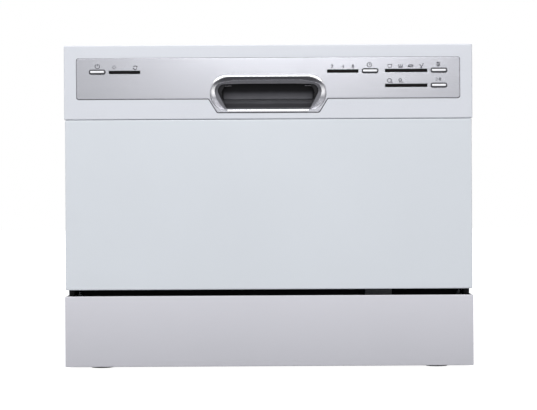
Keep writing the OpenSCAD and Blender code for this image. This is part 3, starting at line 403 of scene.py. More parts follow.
def painted_steel(name, colour, roughness=0.36, floor_shade_top=None, mirror=0.5):
    """Stoved polyester paint on steel: even, with the faint orange peel of a sprayed coat.
    Below a given height it darkens towards the floor: painted shade, for the light that falls off there."""
    material, tree, place = empty_material(name)
    # Orange peel is about 2 mm from crest to crest and a few hundredths deep.
    peel = add_node(tree, "TexNoise", {"Scale": 0.6 / 0.002, "Detail": 1.5}, {"Vector": place})
    cloud = add_node(tree, "TexNoise", {"Scale": 5.0, "Detail": 2.0}, {"Vector": place})
    coat = add_node(tree, "ValToRGB", links={"Fac": cloud},
                    stops=[(0.3, lighter(colour, 0.985)), (0.7, lighter(colour, 1.015))])
    # Painted shade: below the given height the paint's colour darkens towards the floor, where less light
    # reaches.
    if floor_shade_top:
        height = add_node(tree, "SeparateXYZ", links={"Vector": place})
        floor_shade = add_node(tree, "MapRange", {"From Min": floor_shade_top, "From Max": 0.0, "To Max": 0.24},
                        {"Value": height.outputs["Z"]})
        coat = add_node(tree, "MixRGB", {"Color2": linear("#6E6E74")}, {"Fac": floor_shade, "Color1": coat})
    return grained_surface(material, tree, coat, peel, (roughness - 0.03, roughness + 0.03), 0.25, 0.03,
                           {"IOR": 1.5, "Specular IOR Level": mirror})


# A grey a shade darker and warmer than the door, as it is a separate sprayed sheet.
# Its colour darkens below 100 mm: painted shade near the floor.
kick_paint = painted_steel("kick_panel_paint", "#D6D6DD", floor_shade_top=0.1)
# Planes of the whole machine, in mm: its front, half its width and its top.
FRONT = DOOR_FACE / MM
HALF_WIDTH = round(cad_box[1][0] / MM)
TOP = round(cad_box[1][2] / MM)


def kick_fold(x, z):
    """The upper edge is rolled back by 7 mm between the ends."""
    return 7 if z > 99 and abs(x) < HALF_WIDTH - 0.4 else 1.2


shape = bmesh.new()
add_pressing(shape, "front", FRONT, box_outline((-HALF_WIDTH, HALF_WIDTH), (5, 100), 0.9, 4), sheet=1.0,
             edge=0.9, rim=kick_fold)
for x in (-1, 1):
    add_block(shape, (x * 262, -247, 45), (x * 270, -236, 90), 0.4)
finish_piece("kick_sheet", shape, [kick_paint], "root", ["kick_panel"])

# ---- Side panels, top and back ----
# Two painted steel sides with a narrow front fold, a painted steel top, and a galvanised
# back sheet with a pressed field and air slots, held by six cross-head screws.

# Semi-matt, as the textured paint of sides and tops is: less mirror than the door's.
cabinet_paint = painted_steel("cabinet_paint", "#D6DBE1", 0.52, mirror=0.3)
BACK = 248
CABINET_FRONT = -198
side_top = TOP - 1.1
# The sides run forward under the door as a foot, so the outline is an L on its back.
side_outline = rounded([(-246.4, 5), (BACK, 5), (BACK, side_top), (CABINET_FRONT, side_top),
                        (CABINET_FRONT, 100), (-246.4, 100)], [1.5, 1.5, 2.5, 2.5, 0.6, 1.5], 4)


def side_fold(y, z):
    """The front edge beside the tub is folded in by 4.4 mm; the other edges are only rounded."""
    beside_tub = 124 < z < 426 and y < CABINET_FRONT + 1
    return 5.2 if beside_tub else 0.85


for side, sign in (("left", -1), ("right", 1)):
    shape = bmesh.new()
    add_pressing(shape, side, sign * HALF_WIDTH, side_outline, rim=side_fold)
    # A black block stands in the corner beside the hinge as painted shade, so that the gap under the door
    # stays dark.
    add_block(shape, (sign * 269.7, -198, 96.8), (sign * 274.5, -197.2, 108.6), 0.2, skin=1)
    finish_piece(side + "_cabinet_side", shape, [cabinet_paint, black_polypropylene], "root",
                 [side + "_side_panel"])


def top_fold(x, y):
    """The front edge of the top is folded down over the tub's mouth."""
    return 5.0 if y < CABINET_FRONT + 0.5 and abs(x) < HALF_WIDTH - 5 else 1.05


shape = bmesh.new()
add_pressing(shape, "top", TOP, box_outline((-HALF_WIDTH, HALF_WIDTH), (CABINET_FRONT, BACK), 3.0, 6),
             edge=1.0, rim=top_fold)
finish_piece("cabinet_top", shape, [cabinet_paint], "root", ["top_panel"])


def galvanised(name, colour, roughness, crystal_mm):
    """Zinc, or bare drawn steel: small crystals that each mirror a slightly different grey."""
    material, tree, place = empty_material(name)
    crystals = add_node(tree, "TexVoronoi", {"Scale": 1 / (crystal_mm * MM), "Randomness": 1.0},
                        {"Vector": place})
    grey = add_node(tree, "SeparateColor", links={"Color": crystals.outputs["Color"]})
    shade = add_node(tree, "ValToRGB", links={"Fac": grey.outputs["Red"]},
                     stops=[(0.0, lighter(colour, 0.86)), (1.0, lighter(colour, 1.1))])
    gloss = add_node(tree, "MapRange", {"To Min": roughness - 0.08, "To Max": roughness + 0.08},
                     {"Value": grey.outputs["Green"]})
    skin = add_node(tree, "BsdfPrincipled", {"Metallic": 1.0}, {"Base Color": shade, "Roughness": gloss})
    add_node(tree, "OutputMaterial", links={"Surface": skin})
    return material


# Hot-dip zinc: its crystals are about 5 mm across and show as a pale patchwork.
zinc_sheet = galvanised("hot_dip_galvanised_steel", "#B4B7BB", 0.42, 5.0)
shape = bmesh.new()
slots = [bar_outline(i * 26, 125, 9, 2, 1.9, 4) for i in range(-5, 6)]
field = box_outline((-238, 238), (152, 408), 14, 6)
sheet_half = HALF_WIDTH - 1.1
add_pressing(shape, "back", BACK, box_outline((-sheet_half, sheet_half), (101, side_top), 2, 4),
             slots + [field], edge=0.3)
# The pressed field stands 1.2 mm proud, with a sloping edge.
put = FACING["back"](BACK)
step = grown(field, -2.5)
for depth in (0, 0.8):
    crest = add_ring(shape, put, step, depth - 1.2)
    join_rings(shape, add_ring(shape, put, field, depth), crest)
    fill_between(shape, [(step, crest)])
finish_piece("cabinet_back", shape, [zinc_sheet], "root", ["back_panel"])


def circle(x, y, radius, count):
    """Evenly spaced points round a centre."""
    return [Vector((x + radius * math.cos(a), y + radius * math.sin(a)))
            for a in (2 * math.pi * i / count for i in range(count))]


def add_cross_screw(shape, side, face, spot, radius, height):
    """A pan head with a cross recess, seen from its top."""
    arm, slot = radius * 0.52, radius * 0.15
    cross = [Vector((spot[0] + a, spot[1] + b)) for a, b in
             ((-slot, arm), (-slot, slot), (-arm, slot), (-arm, -slot), (-slot, -slot), (-slot, -arm),
              (slot, -arm), (slot, -slot), (arm, -slot), (arm, slot), (slot, slot), (slot, arm))]
    add_pressing(shape, side, face, circle(*spot, radius, 24), [cross], sheet=height,
                 edge=min(height, radius) * 0.6, hole_edge=0.05)
    fill_between(shape, [(cross, add_ring(shape, FACING[side](face), cross, height * 0.75))])


# Passivated zinc plating: a cool bright grey with a slight bloom.
zinc_plate = galvanised("bright_zinc_plate", "#A3A6AA", 0.34, 0.9)
shape = bmesh.new()
for x in (-262.2, 0, 262.2):
    for z in (109, 424):
        add_cross_screw(shape, "back", 250, (x, z), 3.6, 2.0)
finish_piece("back_screws", shape, [zinc_plate], "root", ["cabinet_screws"])

# ---- Tub ----
# Deep-drawn stainless steel box with ledges for the wheels; a rubber gasket runs round its
# mouth, and a small steel bar under its ceiling takes the door's hook.


def stainless(name, colour, roughness, along="y", streak_mm=0.5):
    """Cold-rolled stainless steel: fine streaks along the rolling direction."""
    material, tree, place = empty_material(name)
    # Real rolling lines are some 0.05 mm apart; they are drawn ten times as coarse to show.
    fine, long = 0.6 / (streak_mm * MM), 6.0
    stretch = {"x": (long, fine, fine), "y": (fine, long, fine), "z": (fine, fine, long)}[along]
    scaled = add_node(tree, "Mapping", {"Scale": stretch}, {"Vector": place})
    streaks = add_node(tree, "TexNoise", {"Scale": 1.0, "Detail": 3.0}, {"Vector": scaled})
    cloud = add_node(tree, "TexNoise", {"Scale": 7.0, "Detail": 2.0}, {"Vector": place})
    both = add_node(tree, "Math", {1: 0.7}, {0: streaks, 2: cloud}, operation="MULTIPLY_ADD")
    shade = add_node(tree, "ValToRGB", links={"Fac": both},
                     stops=[(0.6, lighter(colour, 0.93)), (1.0, lighter(colour, 1.06))])
    return grained_surface(material, tree, shade, streaks, (roughness - 0.05, roughness + 0.06), 0.12, 0.02,
                           {"Metallic": 1.0})


# The tub's steel was rolled from front to back: a soft grey sheen with faint streaks.
dress(stainless("rolled_stainless_steel", "#B9BCC0", 0.3), ["tub"], 0.7)
dress(zinc_plate, ["latch_strike"], 0.3)

# Extruded synthetic rubber: a dark hollow bulb with a lip, slightly shiny where it is wiped.
gasket_rubber = textured("extruded_gasket_rubber", "#2A2B2D", 0.6, 2.5, 0.05)


def add_swept(shape, side, face, outline, profile):
    """Carry a closed profile of (outward, depth) points round a closed outline."""
    put = FACING[side](face)
    rings = [add_ring(shape, put, grown(outline, out) if abs(out) > 1e-6 else outline, depth)
             for out, depth in profile]
    for one, two in zip(rings, rings[1:] + rings[:1]):
        join_rings(shape, one, two)


shape = bmesh.new()
mouth = rounded([(-248, 138.9), (248, 138.9), (248, 427), (-248, 427)], [6, 6, 14, 14], 8)
bulb = [(-4.6, 9.4), (-4.9, 6.5), (-3.9, 3.2), (-1.4, 0.9), (0, 0.5), (1.4, 0.9), (3.9, 3.2), (4.9, 6.5),
        (4.6, 9.4)]
add_swept(shape, "front", -201.6, mouth, bulb)
finish_piece("mouth_gasket", shape, [gasket_rubber], "root", ["door_seal"], 60)

# ---- Hinges ----
# Punched steel ears on the tray in black primer, bare steel arms on the door with bright
# pins, and a coil spring in tension on each side that pulls the arm's tail down.
dress(stainless("punched_hinge_steel", "#9A9EA3", 0.38, "z", 0.8), ["hinge_arms"], 0.35)
# Sprayed primer: thin, black and dull.
dress(textured("black_primer_on_steel", "#1A1A1C", 0.5, 1.2, 0.02, mirror=0.2), ["hinge_brackets"], 0.35)
dress(zinc_plate, ["hinge_pins"], 0.5)


def add_tube(shape, path, radius):
    """A six-sided wire along a path of points in mm, closed at both ends."""
    points = [Vector(p) for p in path]
    rings = []
    across = None
    for i, point in enumerate(points):
        along = (points[min(i + 1, len(points) - 1)] - points[max(i - 1, 0)]).normalized()
        if across is None:
            across = along.orthogonal()
        across = (across - along * across.dot(along)).normalized()
        other = along.cross(across)
        rings.append([shape.verts.new((point + (across * math.cos(a) + other * math.sin(a)) * radius) * MM)
                      for a in (math.pi * k / 3 for k in range(6))])
    for one, two in zip(rings, rings[1:]):
        join_rings(shape, one, two)
    for end in (rings[0], rings[-1]):
        shape.faces.new(end)


# Drawn spring wire: dark, oiled and close-wound.
spring_wire = galvanised("oiled_spring_wire", "#8C8F93", 0.3, 0.8)
turns, coil_radius, wire = 30, 3.55, 0.9
coil_foot, coil_top, spring_y = 27, 103, -184
shape = bmesh.new()
for x in (-261.85, 261.85):
    loop = circle(x, spring_y, coil_radius, 12)
    coil = [(*loop[i % 12], coil_foot + (coil_top - coil_foot) * i / (turns * 12))
            for i in range(turns * 12 + 1)]
    low_hook = [(x, spring_y + 3 * math.cos(a), 22.6 + 3 * math.sin(a))
                for a in (math.radians(d) for d in range(-250, 70, 20))]
    up_wire = [(x, spring_y, z) for z in (coil_top, 106, 111.5)]
    for path in (coil, low_hook, up_wire):
        add_tube(shape, path, wire)
finish_piece("coil_springs", shape, [spring_wire], "root", ["door_springs"], 60)

# ---- Sump, filters and heater ----
# A pale polypropylene sump under the tub, a perforated steel plate over it, a lift-out
# filter cup, and a tubular heater that rests on three feet.

# Polypropylene without pigment: milky white and waxy.
dress(textured("natural_polypropylene", "#DFE0DD", 0.42, 1.4, 0.03),
      ["sump", "wash_pump_housing", "softener"], 0.8)


def perforated(name, colour, pitch_mm, hole_mm):
    """Etched stainless sheet with small round holes in a square pattern: each hole is a dark spot of painted
    shade, with a slight bump.
    """
    material, tree, place = empty_material(name)
    # The real holes are about 0.8 mm; they are drawn at this pitch so that they show.
    grid = add_node(tree, "TexVoronoi", {"Scale": 1 / (pitch_mm * MM), "Randomness": 0.0},
                    {"Vector": place}, voronoi_dimensions="2D")
    hole = add_node(tree, "MapRange", {"From Min": hole_mm / pitch_mm / 2 - 0.04,
                                       "From Max": hole_mm / pitch_mm / 2 + 0.04}, {"Value": grid})
    # Painted shade: the holes are coloured dark grey for the dark seen through them.
    shade = add_node(tree, "MixRGB", {"Color1": linear("#2E3033"), "Color2": linear(colour)},
                     {"Fac": hole})
    relief = add_node(tree, "Bump", {"Strength": 0.6, "Distance": 0.0003}, {"Height": hole})
    skin = add_node(tree, "BsdfPrincipled", {"Metallic": 1.0, "Roughness": 0.32},
                    {"Base Color": shade, "Normal": relief})
    add_node(tree, "OutputMaterial", links={"Surface": skin})
    return material


dress(perforated("perforated_stainless_sheet", "#AEB1B6", 2.6, 1.3), ["flat_filter"], 0.3)
# Frosted polypropylene: pale grey, with a slight gloss.
dress(textured("frosted_grey_polypropylene", "#C4C8CC", 0.3, 1.8, 0.03), ["filter_cup"], 0.5)
# The heater's sheath is nickel steel that heat has dulled to a brownish grey.
dress(stainless("heat_tinted_nickel_steel", "#74716C", 0.36, "z", 3.0), ["heating_element"], 0)

# ---- Pumps, softener and hoses ----
# They stand in the base tray under the tub: the wash pump on the right with its motor, the
# drain pump, the water softener, the inlet valve and a flat air break beside the tub.

# Enamel on the motor's shell: dark grey, with a faint orange peel.
dress(textured("enamelled_motor_steel", "#4A4E53", 0.4, 2.0, 0.05), ["wash_motor"], 0.8)
# Polyamide filled with glass fibre, which leaves its skin dark and dull.
dress(textured("dark_glass_filled_polyamide", "#33373B", 0.55, 1.2, 0.05),
      ["drain_pump", "drain_connector", "float_switch"], 0.6)
# Acetal: dense, very smooth and a warm white.
white_acetal = textured("white_acetal", "#EBEAE5", 0.35, 1.6, 0.02)
dress(white_acetal, ["wash_impeller", "drain_impeller", "inlet_valve"])
# Milky styrene: pale and shiny.
dress(textured("milky_styrene", "#DDE2E4", 0.25, 4.0, 0.02), ["air_break"], 1.2)
# Rubber for hoses is grey and dull, and for the gland black and coarser.
dress(textured("grey_hose_rubber", "#8D9296", 0.62, 1.6, 0.05), ["inlet_hoses", "drain_hose"], 0)
dress(textured("black_gland_rubber", "#242527", 0.66, 1.8, 0.05), ["cord_gland"], 0.5)

# Float: a hollow acetal bell with ribs down its side, free to rise on its stem.
tub_floor = 122
shape = bmesh.new()
add_turned(shape, [(0, 13.2), (3, 15.6), (8, 15.9), (12.6, 14.8), (14.6, 12.4), (15, 9), (15, 1.4),
                   (14.2, 0.3), (4, 0.3), (4, -4.8), (0, -4.8)], (180, -150, tub_floor), steps=36)
for x, y in circle(180, -150, 14.4, 12):
    add_turned(shape, [(0, 2), (0.7, 2.2), (0.7, 10), (0, 10.6)], (x, y, tub_floor), steps=8)
finish_piece("float_bell", shape, [white_acetal], "tub_float", ["tub_float"])

# Salt cap: a screwed lid with a knurled rim and a finger bar, seated on the softener's neck.
# Slate-grey ABS with a satin grain.
cap_grey = textured("slate_grey_abs", "#3F4853", 0.36, 1.2, 0.04)
shape = bmesh.new()
add_turned(shape, [(0, 7), (22, 7), (25.4, 6.6), (27.4, 5.8), (28, 5), (28, 3.3), (20, 3.3), (20, -12),
                   (0, -12)], (-150, -120, tub_floor), steps=48)
for x, y in circle(-150, -120, 27.2, 36):
    add_turned(shape, [(0, 3.5), (0.8, 3.5), (0.8, 5.6), (0, 6)], (x, y, tub_floor), steps=6)
add_block(shape, (-170, -122.5, 128.6), (-130, -117.5, 134), 1.4, steps=3)
finish_piece("salt_lid", shape, [cap_grey], "salt_cap", ["salt_cap"])

# ---- Door: painted front and stainless inner side ----
# The front sheet is folded back on all four sides; the inner door is a stainless pressing
# with a raised margin, held by six screws. The hinge arms stand between them.
door_paint = painted_steel("door_paint", "#D8DDE3", 0.34)


door_half, door_foot, door_depth = HALF_WIDTH - 1.2, 108.6, 45.5


def door_fold(x, z):
    """The sides are folded back to the door's full depth, the upper edge by 19 mm."""
    if abs(x) > door_half - 0.6:
        return door_depth
    return 19.0 if z > 337.0 else 2.4


shape = bmesh.new()
add_pressing(shape, "front", FRONT, box_outline((-door_half, door_half), (door_foot, 337.4), 1.2, 4),
             edge=1.2, rim=door_fold)
add_block(shape, (-254, -247.4, door_foot), (254, -233, door_foot + 0.8), 0.3)
finish_piece("door_front_sheet", shape, [door_paint], "door", ["door_outer_panel"])

# The inner door's steel was brushed across, so its streaks run from side to side.
dress(stainless("brushed_stainless_door", "#B7BABF", 0.28, "x"), ["door_inner_liner"], 0.6)
shape = bmesh.new()
for x in (-233, 233):
    for z in (177, 282.8, 388.6):
        add_cross_screw(shape, "back", -200.7, (x, z), 3.2, 1.3)
finish_piece("inner_door_screws", shape, [zinc_plate], "door", ["door_screws"])

# ---- Support behind the kick panel ----
# A folded steel strip in grey stoved paint stands on the tray in the dark gap under the
# door, right of the middle.

# Stoved paint on a bracket is plain: mid grey, dull and slightly rough.
grey_steel = textured("grey_stoved_steel", "#828286", 0.5, 1.8, 0.04)
left, right, wall = 131.6, 168, 2.5
shape = bmesh.new()
add_block(shape, (left, -201.4, 7.6), (right, -198.9, 111))
add_block(shape, (left, -200, 7.6), (left + wall, -190, 111))
add_block(shape, (right - wall, -200, 7.6), (right, -190, 111))
finish_piece("gap_support", shape, [grey_steel], "root")

# ---- Control fascia ----
# White ABS moulding across the top of the door, folded back like the front sheet below it. It
# has a shallow seat for the silver panel and openings for the keys, windows and handle.


def panel_outline(grow=0.0):
    """The silver panel: a bar with a bump below the handle."""
    x, top, low = 258 + grow, 420.5 + grow, 365.4 - grow
    root, tip, bump = 80 + grow, 68.6 + grow, 347.1 - grow
    return rounded([(-x, top), (x, top), (x, low), (root, low), (tip, bump), (-tip, bump), (-root, low),
                    (-x, low)], [3.5, 3.5, 3.5, 2, 4, 4, 2, 3.5], 6)


# Centres of the four keys; centre and length of each of the four windows.
BUTTONS = {"power": (-230, 402), "delay": (137.35, 402.1), "program": (230, 402.4), "start": (230, 382.2)}
WINDOWS = [(-193.25, 401.5, 41.8), (100.6, 401.8, 41.8), (185.95, 402.2, 56.4), (185.95, 382.1, 56.4)]
KEY_X, KEY_Z, WINDOW_Z = 10.85, 3.15, 2.05


def control_holes(grow):
    """Openings for the keys and windows, wider than them all round by a clearance."""
    keys = [bar_outline(x, z, KEY_X + grow, KEY_Z + grow, 2.6 + grow, 5) for x, z in BUTTONS.values()]
    return keys + [bar_outline(x, z, w / 2 + grow, WINDOW_Z + grow, 0.25, 3) for x, z, w in WINDOWS]


def fascia_fold(x, z):
    """The ends and top are as deep as the door; the lower edge is folded back less."""
    return 17.5 if z < 338.8 and abs(x) < 258 else door_depth


# White ABS from a polished mould: an even satin with hardly any grain.
white_abs = textured("white_abs", "#D7DAE1", 0.34, 1.2, 0.012, spread=0.012)
# The seat leaves a narrow shadow gap round the panel, a little wider below it.
seat_outline = [corner + Vector((0, -0.5 if corner.y < 350 else -0.2)) for corner in panel_outline(0.6)]
pill = rounded([(-78.4, 349.9), (78.4, 349.9), (78.4, 396.9), (-78.4, 396.9)], 22.5, 14)
shape = bmesh.new()
add_pressing(shape, "front", FRONT, box_outline((-HALF_WIDTH, HALF_WIDTH), (338, TOP), 1.6, 5),
             [seat_outline], sheet=2.4, edge=1.4, hole_edge=0.15, rim=fascia_fold)
add_pressing(shape, "front", -247.1, panel_outline(1.1), control_holes(2.2) + [grown(pill, -0.9)], sheet=1.5,
             edge=0.02, hole_edge=0.1)
finish_piece("fascia_moulding", shape, [white_abs], "door", ["control_fascia"])

# A thin dark grey sheet lies in the seat round the panel: painted shade for the narrow gap round it.
gap_shade_sheet = textured("seat_gap_painted_shade", "#606165", 0.8, 1.0, 0.02, mirror=0.2)
shape = bmesh.new()
add_pressing(shape, "front", -247.16, grown(seat_outline, -0.03), [panel_outline(-6)], sheet=0.06, edge=0.01,
             hole_edge=0.01, arc=1)
finish_piece("seat_gap_shade_sheet", shape, [gap_shade_sheet], "door")

# ---- Silver panel ----
# Anodised aluminium, 1.2 mm thick, cut out for the keys, windows and handle and bonded into
# the fascia. It is brushed along its length.


def brushed_aluminium(name, colour, roughness):
    """Anodised aluminium with lengthwise brushing: a soft satin that turns bright towards a lamp."""
    material, tree, place = empty_material(name)
    # Brush lines are about 0.1 mm apart; drawn at 0.9 mm so that a picture can show them.
    scaled = add_node(tree, "Mapping", {"Scale": (9, 700, 700)}, {"Vector": place})
    lines = add_node(tree, "TexNoise", {"Scale": 1.0, "Detail": 4.0, "Roughness": 0.6},
                     {"Vector": scaled})
    cloud = add_node(tree, "TexNoise", {"Scale": 14.0, "Detail": 1.0}, {"Vector": place})
    both = add_node(tree, "Math", {1: 0.8}, {0: lines, 2: cloud}, operation="MULTIPLY_ADD")
    shade = add_node(tree, "ValToRGB", links={"Fac": both},
                     stops=[(0.65, lighter(colour, 0.98)), (0.999, lighter(colour, 1.02))])
    return grained_surface(material, tree, shade, lines, (roughness - 0.015, roughness + 0.015), 0.05, 0.01,
                           {"Metallic": 1.0})


silver_panel = brushed_aluminium("brushed_anodised_aluminium", "#AEAFB5", 0.24)
PANEL_FACE = FRONT - 0.4
shape = bmesh.new()
add_pressing(shape, "front", PANEL_FACE, panel_outline(), control_holes(0.25) + [grown(pill, -1.1)],
             sheet=1.2, edge=0.4, hole_edge=0.22)
finish_piece("silver_panel", shape, [silver_panel], "door", ["trim_panel"])

# ---- Handle bezel and finger recess ----
# A chromed ring round the recess: a thin rim, a slope that widens at the upper corners, and two narrow steps
# down to the opening, with painted reflections that make the rim and slope bright and the steps darker. The
# pocket behind it is dark, with painted light and shade.


def reach(outline, centre, angle):
    """Distance from a centre to a closed outline in one direction."""
    way = Vector((math.cos(angle), math.sin(angle)))
    best = 0.0
    for a, b in zip(outline, outline[1:] + outline[:1]):
        side = b - a
        cross = way.cross(side)
        if abs(cross) < 1e-9:
            continue
        gap = a - centre
        t = gap.cross(side) / cross
        s = gap.cross(way) / cross
        if t > 0 and -1e-6 <= s <= 1 + 1e-6:
            best = max(best, t)
    return best


def chromed(name, tones, roughness):
    """Chrome plate on ABS, with its reflections painted into its colour: each band has its own painted tone
    at each height, dark where it would mirror a dark room above and pale where it would mirror light. Tones
    pair a height in mm with a colour."""
    material, tree, place = empty_material(name)
    height = add_node(tree, "SeparateXYZ", links={"Vector": place})
    span = add_node(tree, "MapRange", {"From Min": 0.35, "From Max": 0.4}, {"Value": height.outputs["Z"]})
    shade = add_node(tree, "ValToRGB", links={"Fac": span},
                     stops=[((z - 350) / 50, linear(colour)) for z, colour in tones])
    specks = add_node(tree, "TexNoise", {"Scale": 500.0, "Detail": 2.0}, {"Vector": place})
    gloss = add_node(tree, "MapRange", {"To Min": roughness - 0.04, "To Max": roughness + 0.06},
                     {"Value": specks})
    skin = add_node(tree, "BsdfPrincipled", {"Metallic": 1.0}, {"Base Color": shade, "Roughness": gloss})
    add_node(tree, "OutputMaterial", links={"Surface": skin})
    return material


# Painted reflections: the sill nearly white, the rim and slope pale where they would catch light, the ridge,
# step and edge darker.
sill_chrome = chromed("chrome_sill_painted_highlight", [(348, "#F0F0F2"), (352, "#F4F4F6")], 0.16)
rim_chrome = chromed("chrome_rim_painted_reflection", [(352, "#A8A8AE"), (366, "#9C9CA2"), (384, "#B4B4BA"),
                                           (391, "#F4F4F6")], 0.2)
slope_chrome = chromed("chrome_slope_painted_reflection", [(354, "#86868C"), (363, "#96969C"), (367, "#86868B"),
                                               (372, "#D8D8DC"), (376, "#F4F4F6"), (381, "#E4E4E8"),
                                               (386, "#7E7E83"), (391, "#58585D")], 0.25)
ridge_chrome = chromed("chrome_ridge_painted_reflection", [(356, "#77777C"), (366, "#68686D"), (380, "#6E6E73"),
                                               (388, "#76767B")], 0.24)
step_chrome = chromed("chrome_step_painted_reflection", [(356, "#5E5E63"), (366, "#66666B"), (378, "#6A6A6F"),
                                             (386, "#7C7C81")], 0.28)
edge_chrome = chromed("chrome_edge_painted_reflection", [(354, "#66666B"), (364, "#4E4E53"), (372, "#303034"),
                                             (386, "#2A2A2D")], 0.28)
# The opening is wider at its top, with rounder corners there.
wide, low_wide, top, waist, low = 66.8, 55.5, 384.8, 374, 351.2
opening = rounded([(-wide, top), (wide, top), (wide, waist), (low_wide, low), (-low_wide, low),
                   (-wide, waist)], [8.5, 8.5, 6, 4, 4, 6], 10)
centre = Vector((0, 370))
angles = sorted({round(math.atan2(corner.y - centre.y, corner.x - centre.x), 5) for corner in pill + opening})
# Each ring: its share of the way from the rim to the opening, and its Y. BANDS are the finishes
# between one ring and the next.
RINGS = [(0, -248.38), (0.03, -248.95), (0.09, -249.2), (0.14, -249.1), (0.17, -248.9), (0.34, -248.65),
         (0.5, -248.3), (0.53, -248.25), (0.57, -248.35), (0.62, -248.1), (0.66, -247.6), (0.93, -247.1),
         (0.96, -246.6), (1, -245.6)]
BANDS = [0, 0, 0, 0, 1, 1, 1, 2, 2, 3, 3, 4, 4]
shape = bmesh.new()
loops = []
for share, depth in RINGS:
    loop = []
    for angle in angles:
        far, near = reach(pill, centre, angle), reach(opening, centre, angle)
        near = min(near, far - 0.4)
        r = far + (near - far) * share
        lift = min(1.0, (far - near) / 6.0)
        y = depth if share == 1 else PANEL_FACE + (depth - PANEL_FACE) * lift
        loop.append(shape.verts.new(Vector((r * math.cos(angle), y, centre.y + r * math.sin(angle))) * MM))
    loops.append(loop)
for one, two, band in zip(loops, loops[1:], BANDS):
    join_rings(shape, one, two, band)
# A sill stands proud along the opening's lower edge, nearly white with a painted highlight.
add_block(shape, (-55, -249.4, 347.6), (55, -248.2, 350.7), 0.5, skin=5, steps=3)
finish_piece("chromed_bezel", shape,
             [rim_chrome, slope_chrome, ridge_chrome, step_chrome, edge_chrome, sill_chrome], "door",
             ["handle_bezel"], 50)


def shaded_pocket_plastic(name, tones):
    """Dark ABS with painted light and shade by height: dark where the recess shades it, and a paler painted
    band of light where light reaches the lever's lip and the pocket under it.
    """
    material, tree, place = empty_material(name)
    height = add_node(tree, "SeparateXYZ", links={"Vector": place})
    haze = add_node(tree, "TexNoise", {"Scale": 60.0, "Detail": 3.0}, {"Vector": place})
    uneven = add_node(tree, "Math", {1: 0.002}, {0: haze, 2: height.outputs["Z"]},
                      operation="MULTIPLY_ADD")
    span = add_node(tree, "MapRange", {"From Min": 0.351, "From Max": 0.391}, {"Value": uneven})
    shade = add_node(tree, "ValToRGB", links={"Fac": span},
                     stops=[((z - 350) / 40, linear(colour)) for z, colour in tones])
    shade.color_ramp.interpolation = "EASE"
    # Painted shade: from 59 mm out the ends are darkened to nearly black.
    aside = add_node(tree, "Math", links={0: height.outputs["X"]}, operation="ABSOLUTE")
    painted_end_shade = add_node(tree, "MapRange", {"From Min": 0.059, "From Max": 0.0615}, {"Value": aside})
    shaded_colour = add_node(tree, "MixRGB", {"Color2": linear("#19191C")}, {"Fac": painted_end_shade, "Color1": shade})
    grain = add_node(tree, "TexNoise", {"Scale": 900.0}, {"Vector": place})
    gloss = add_node(tree, "MapRange", {"To Min": 0.34, "To Max": 0.46}, {"Value": haze})
    relief = add_node(tree, "Bump", {"Strength": 0.2, "Distance": 0.00002}, {"Height": grain})
    skin = add_node(tree, "BsdfPrincipled", {"IOR": 1.53, "Specular IOR Level": 0.15},
                    {"Base Color": shaded_colour, "Roughness": gloss, "Normal": relief})
    add_node(tree, "OutputMaterial", links={"Surface": skin})
    return material


# Painted light and shade by height: dark at the top, a pale band of painted light from 362 to 367 mm, darker
# again below.
pocket_abs = shaded_pocket_plastic("dark_abs_painted_light_and_shade", [(352, "#343438"), (359, "#3E3E43"), (362, "#68686E"),
                                                    (365, "#8A8A90"), (366.5, "#626268"), (372, "#54545A"),
                                                    (378, "#232326"), (384, "#1C1C1F")])
dress(pocket_abs, ["handle_cup"], 0.8)
# A fine raised lip runs round the two upper corners inside the pocket, pale grey as a painted highlight along
# the edges.
lip_painted_highlight = textured("pale_lip_painted_highlight", "#8C8C92", 0.3, 1.0, 0.01)
shape = bmesh.new()
lip = [(-65.2, 375.8), (-64.6, 378), (-63.4, 380.2), (-61.4, 381.8), (-58.6, 382.5), (-54, 382.8),
       (-49.5, 382.9)]
for side in (-1, 1):
    add_tube(shape, [(side * x, -244.6, z) for x, z in lip], 0.28)
finish_piece("pocket_lip", shape, [lip_painted_highlight], "door")

# Lever: a curved grip plate behind the opening, on a bar that turns in the pocket's ears. It leans back above
# and rolls forward to its lower edge, and carries the pocket's painted light and shade.
shape = bmesh.new()
grip = [(-232.5, 388.2), (-230.6, 384), (-228.9, 380), (-227.6, 376.5), (-227.2, 373), (-227.5, 370),
        (-228.4, 367.4), (-228.9, 366.3), (-228.6, 365.7), (-227.6, 365.6), (-226.4, 366.4), (-225.4, 370),
        (-225.2, 374), (-225.6, 378), (-226.6, 382), (-229, 388.2)]
ends = []
for side in (-1, 1):
    end = []
    for y, z in grip:
        half = 50 if z > 383 else min(64.5, 60.2 + (z - 366) * 0.3)
        end.append(shape.verts.new(Vector((side * half, y, z)) * MM))
    ends.append(end)
join_rings(shape, ends[0], ends[1])
for loop in ends:
    shape.faces.new(loop)
add_turned(shape, [(0, -57), (1.9, -57), (1.9, -50), (3.2, -50), (3.2, 50), (1.9, 50), (1.9, 57), (0, 57)],
           (0, -230, 391.3), "x", 20)
add_block(shape, (-50, -232.3, 386.5), (50, -229.2, 391), 0.4)
add_block(shape, (-4, -231.5, 391.3), (4, -228.5, 402.4), 0.4)
add_block(shape, (-4, -231.5, 400.4), (4, -218.5, 402.4), 0.4)
finish_piece("lever_grip", shape, [pocket_abs], "lever", ["latch_lever"], 50)
# The lock's housing is black polyamide with a satin grain; its hook is zinc plated.
dress(textured("black_latch_polyamide", "#202124", 0.5, 1.2, 0.04), ["latch_housing"], 0.5)
dress(zinc_plate, ["latch_hook"])
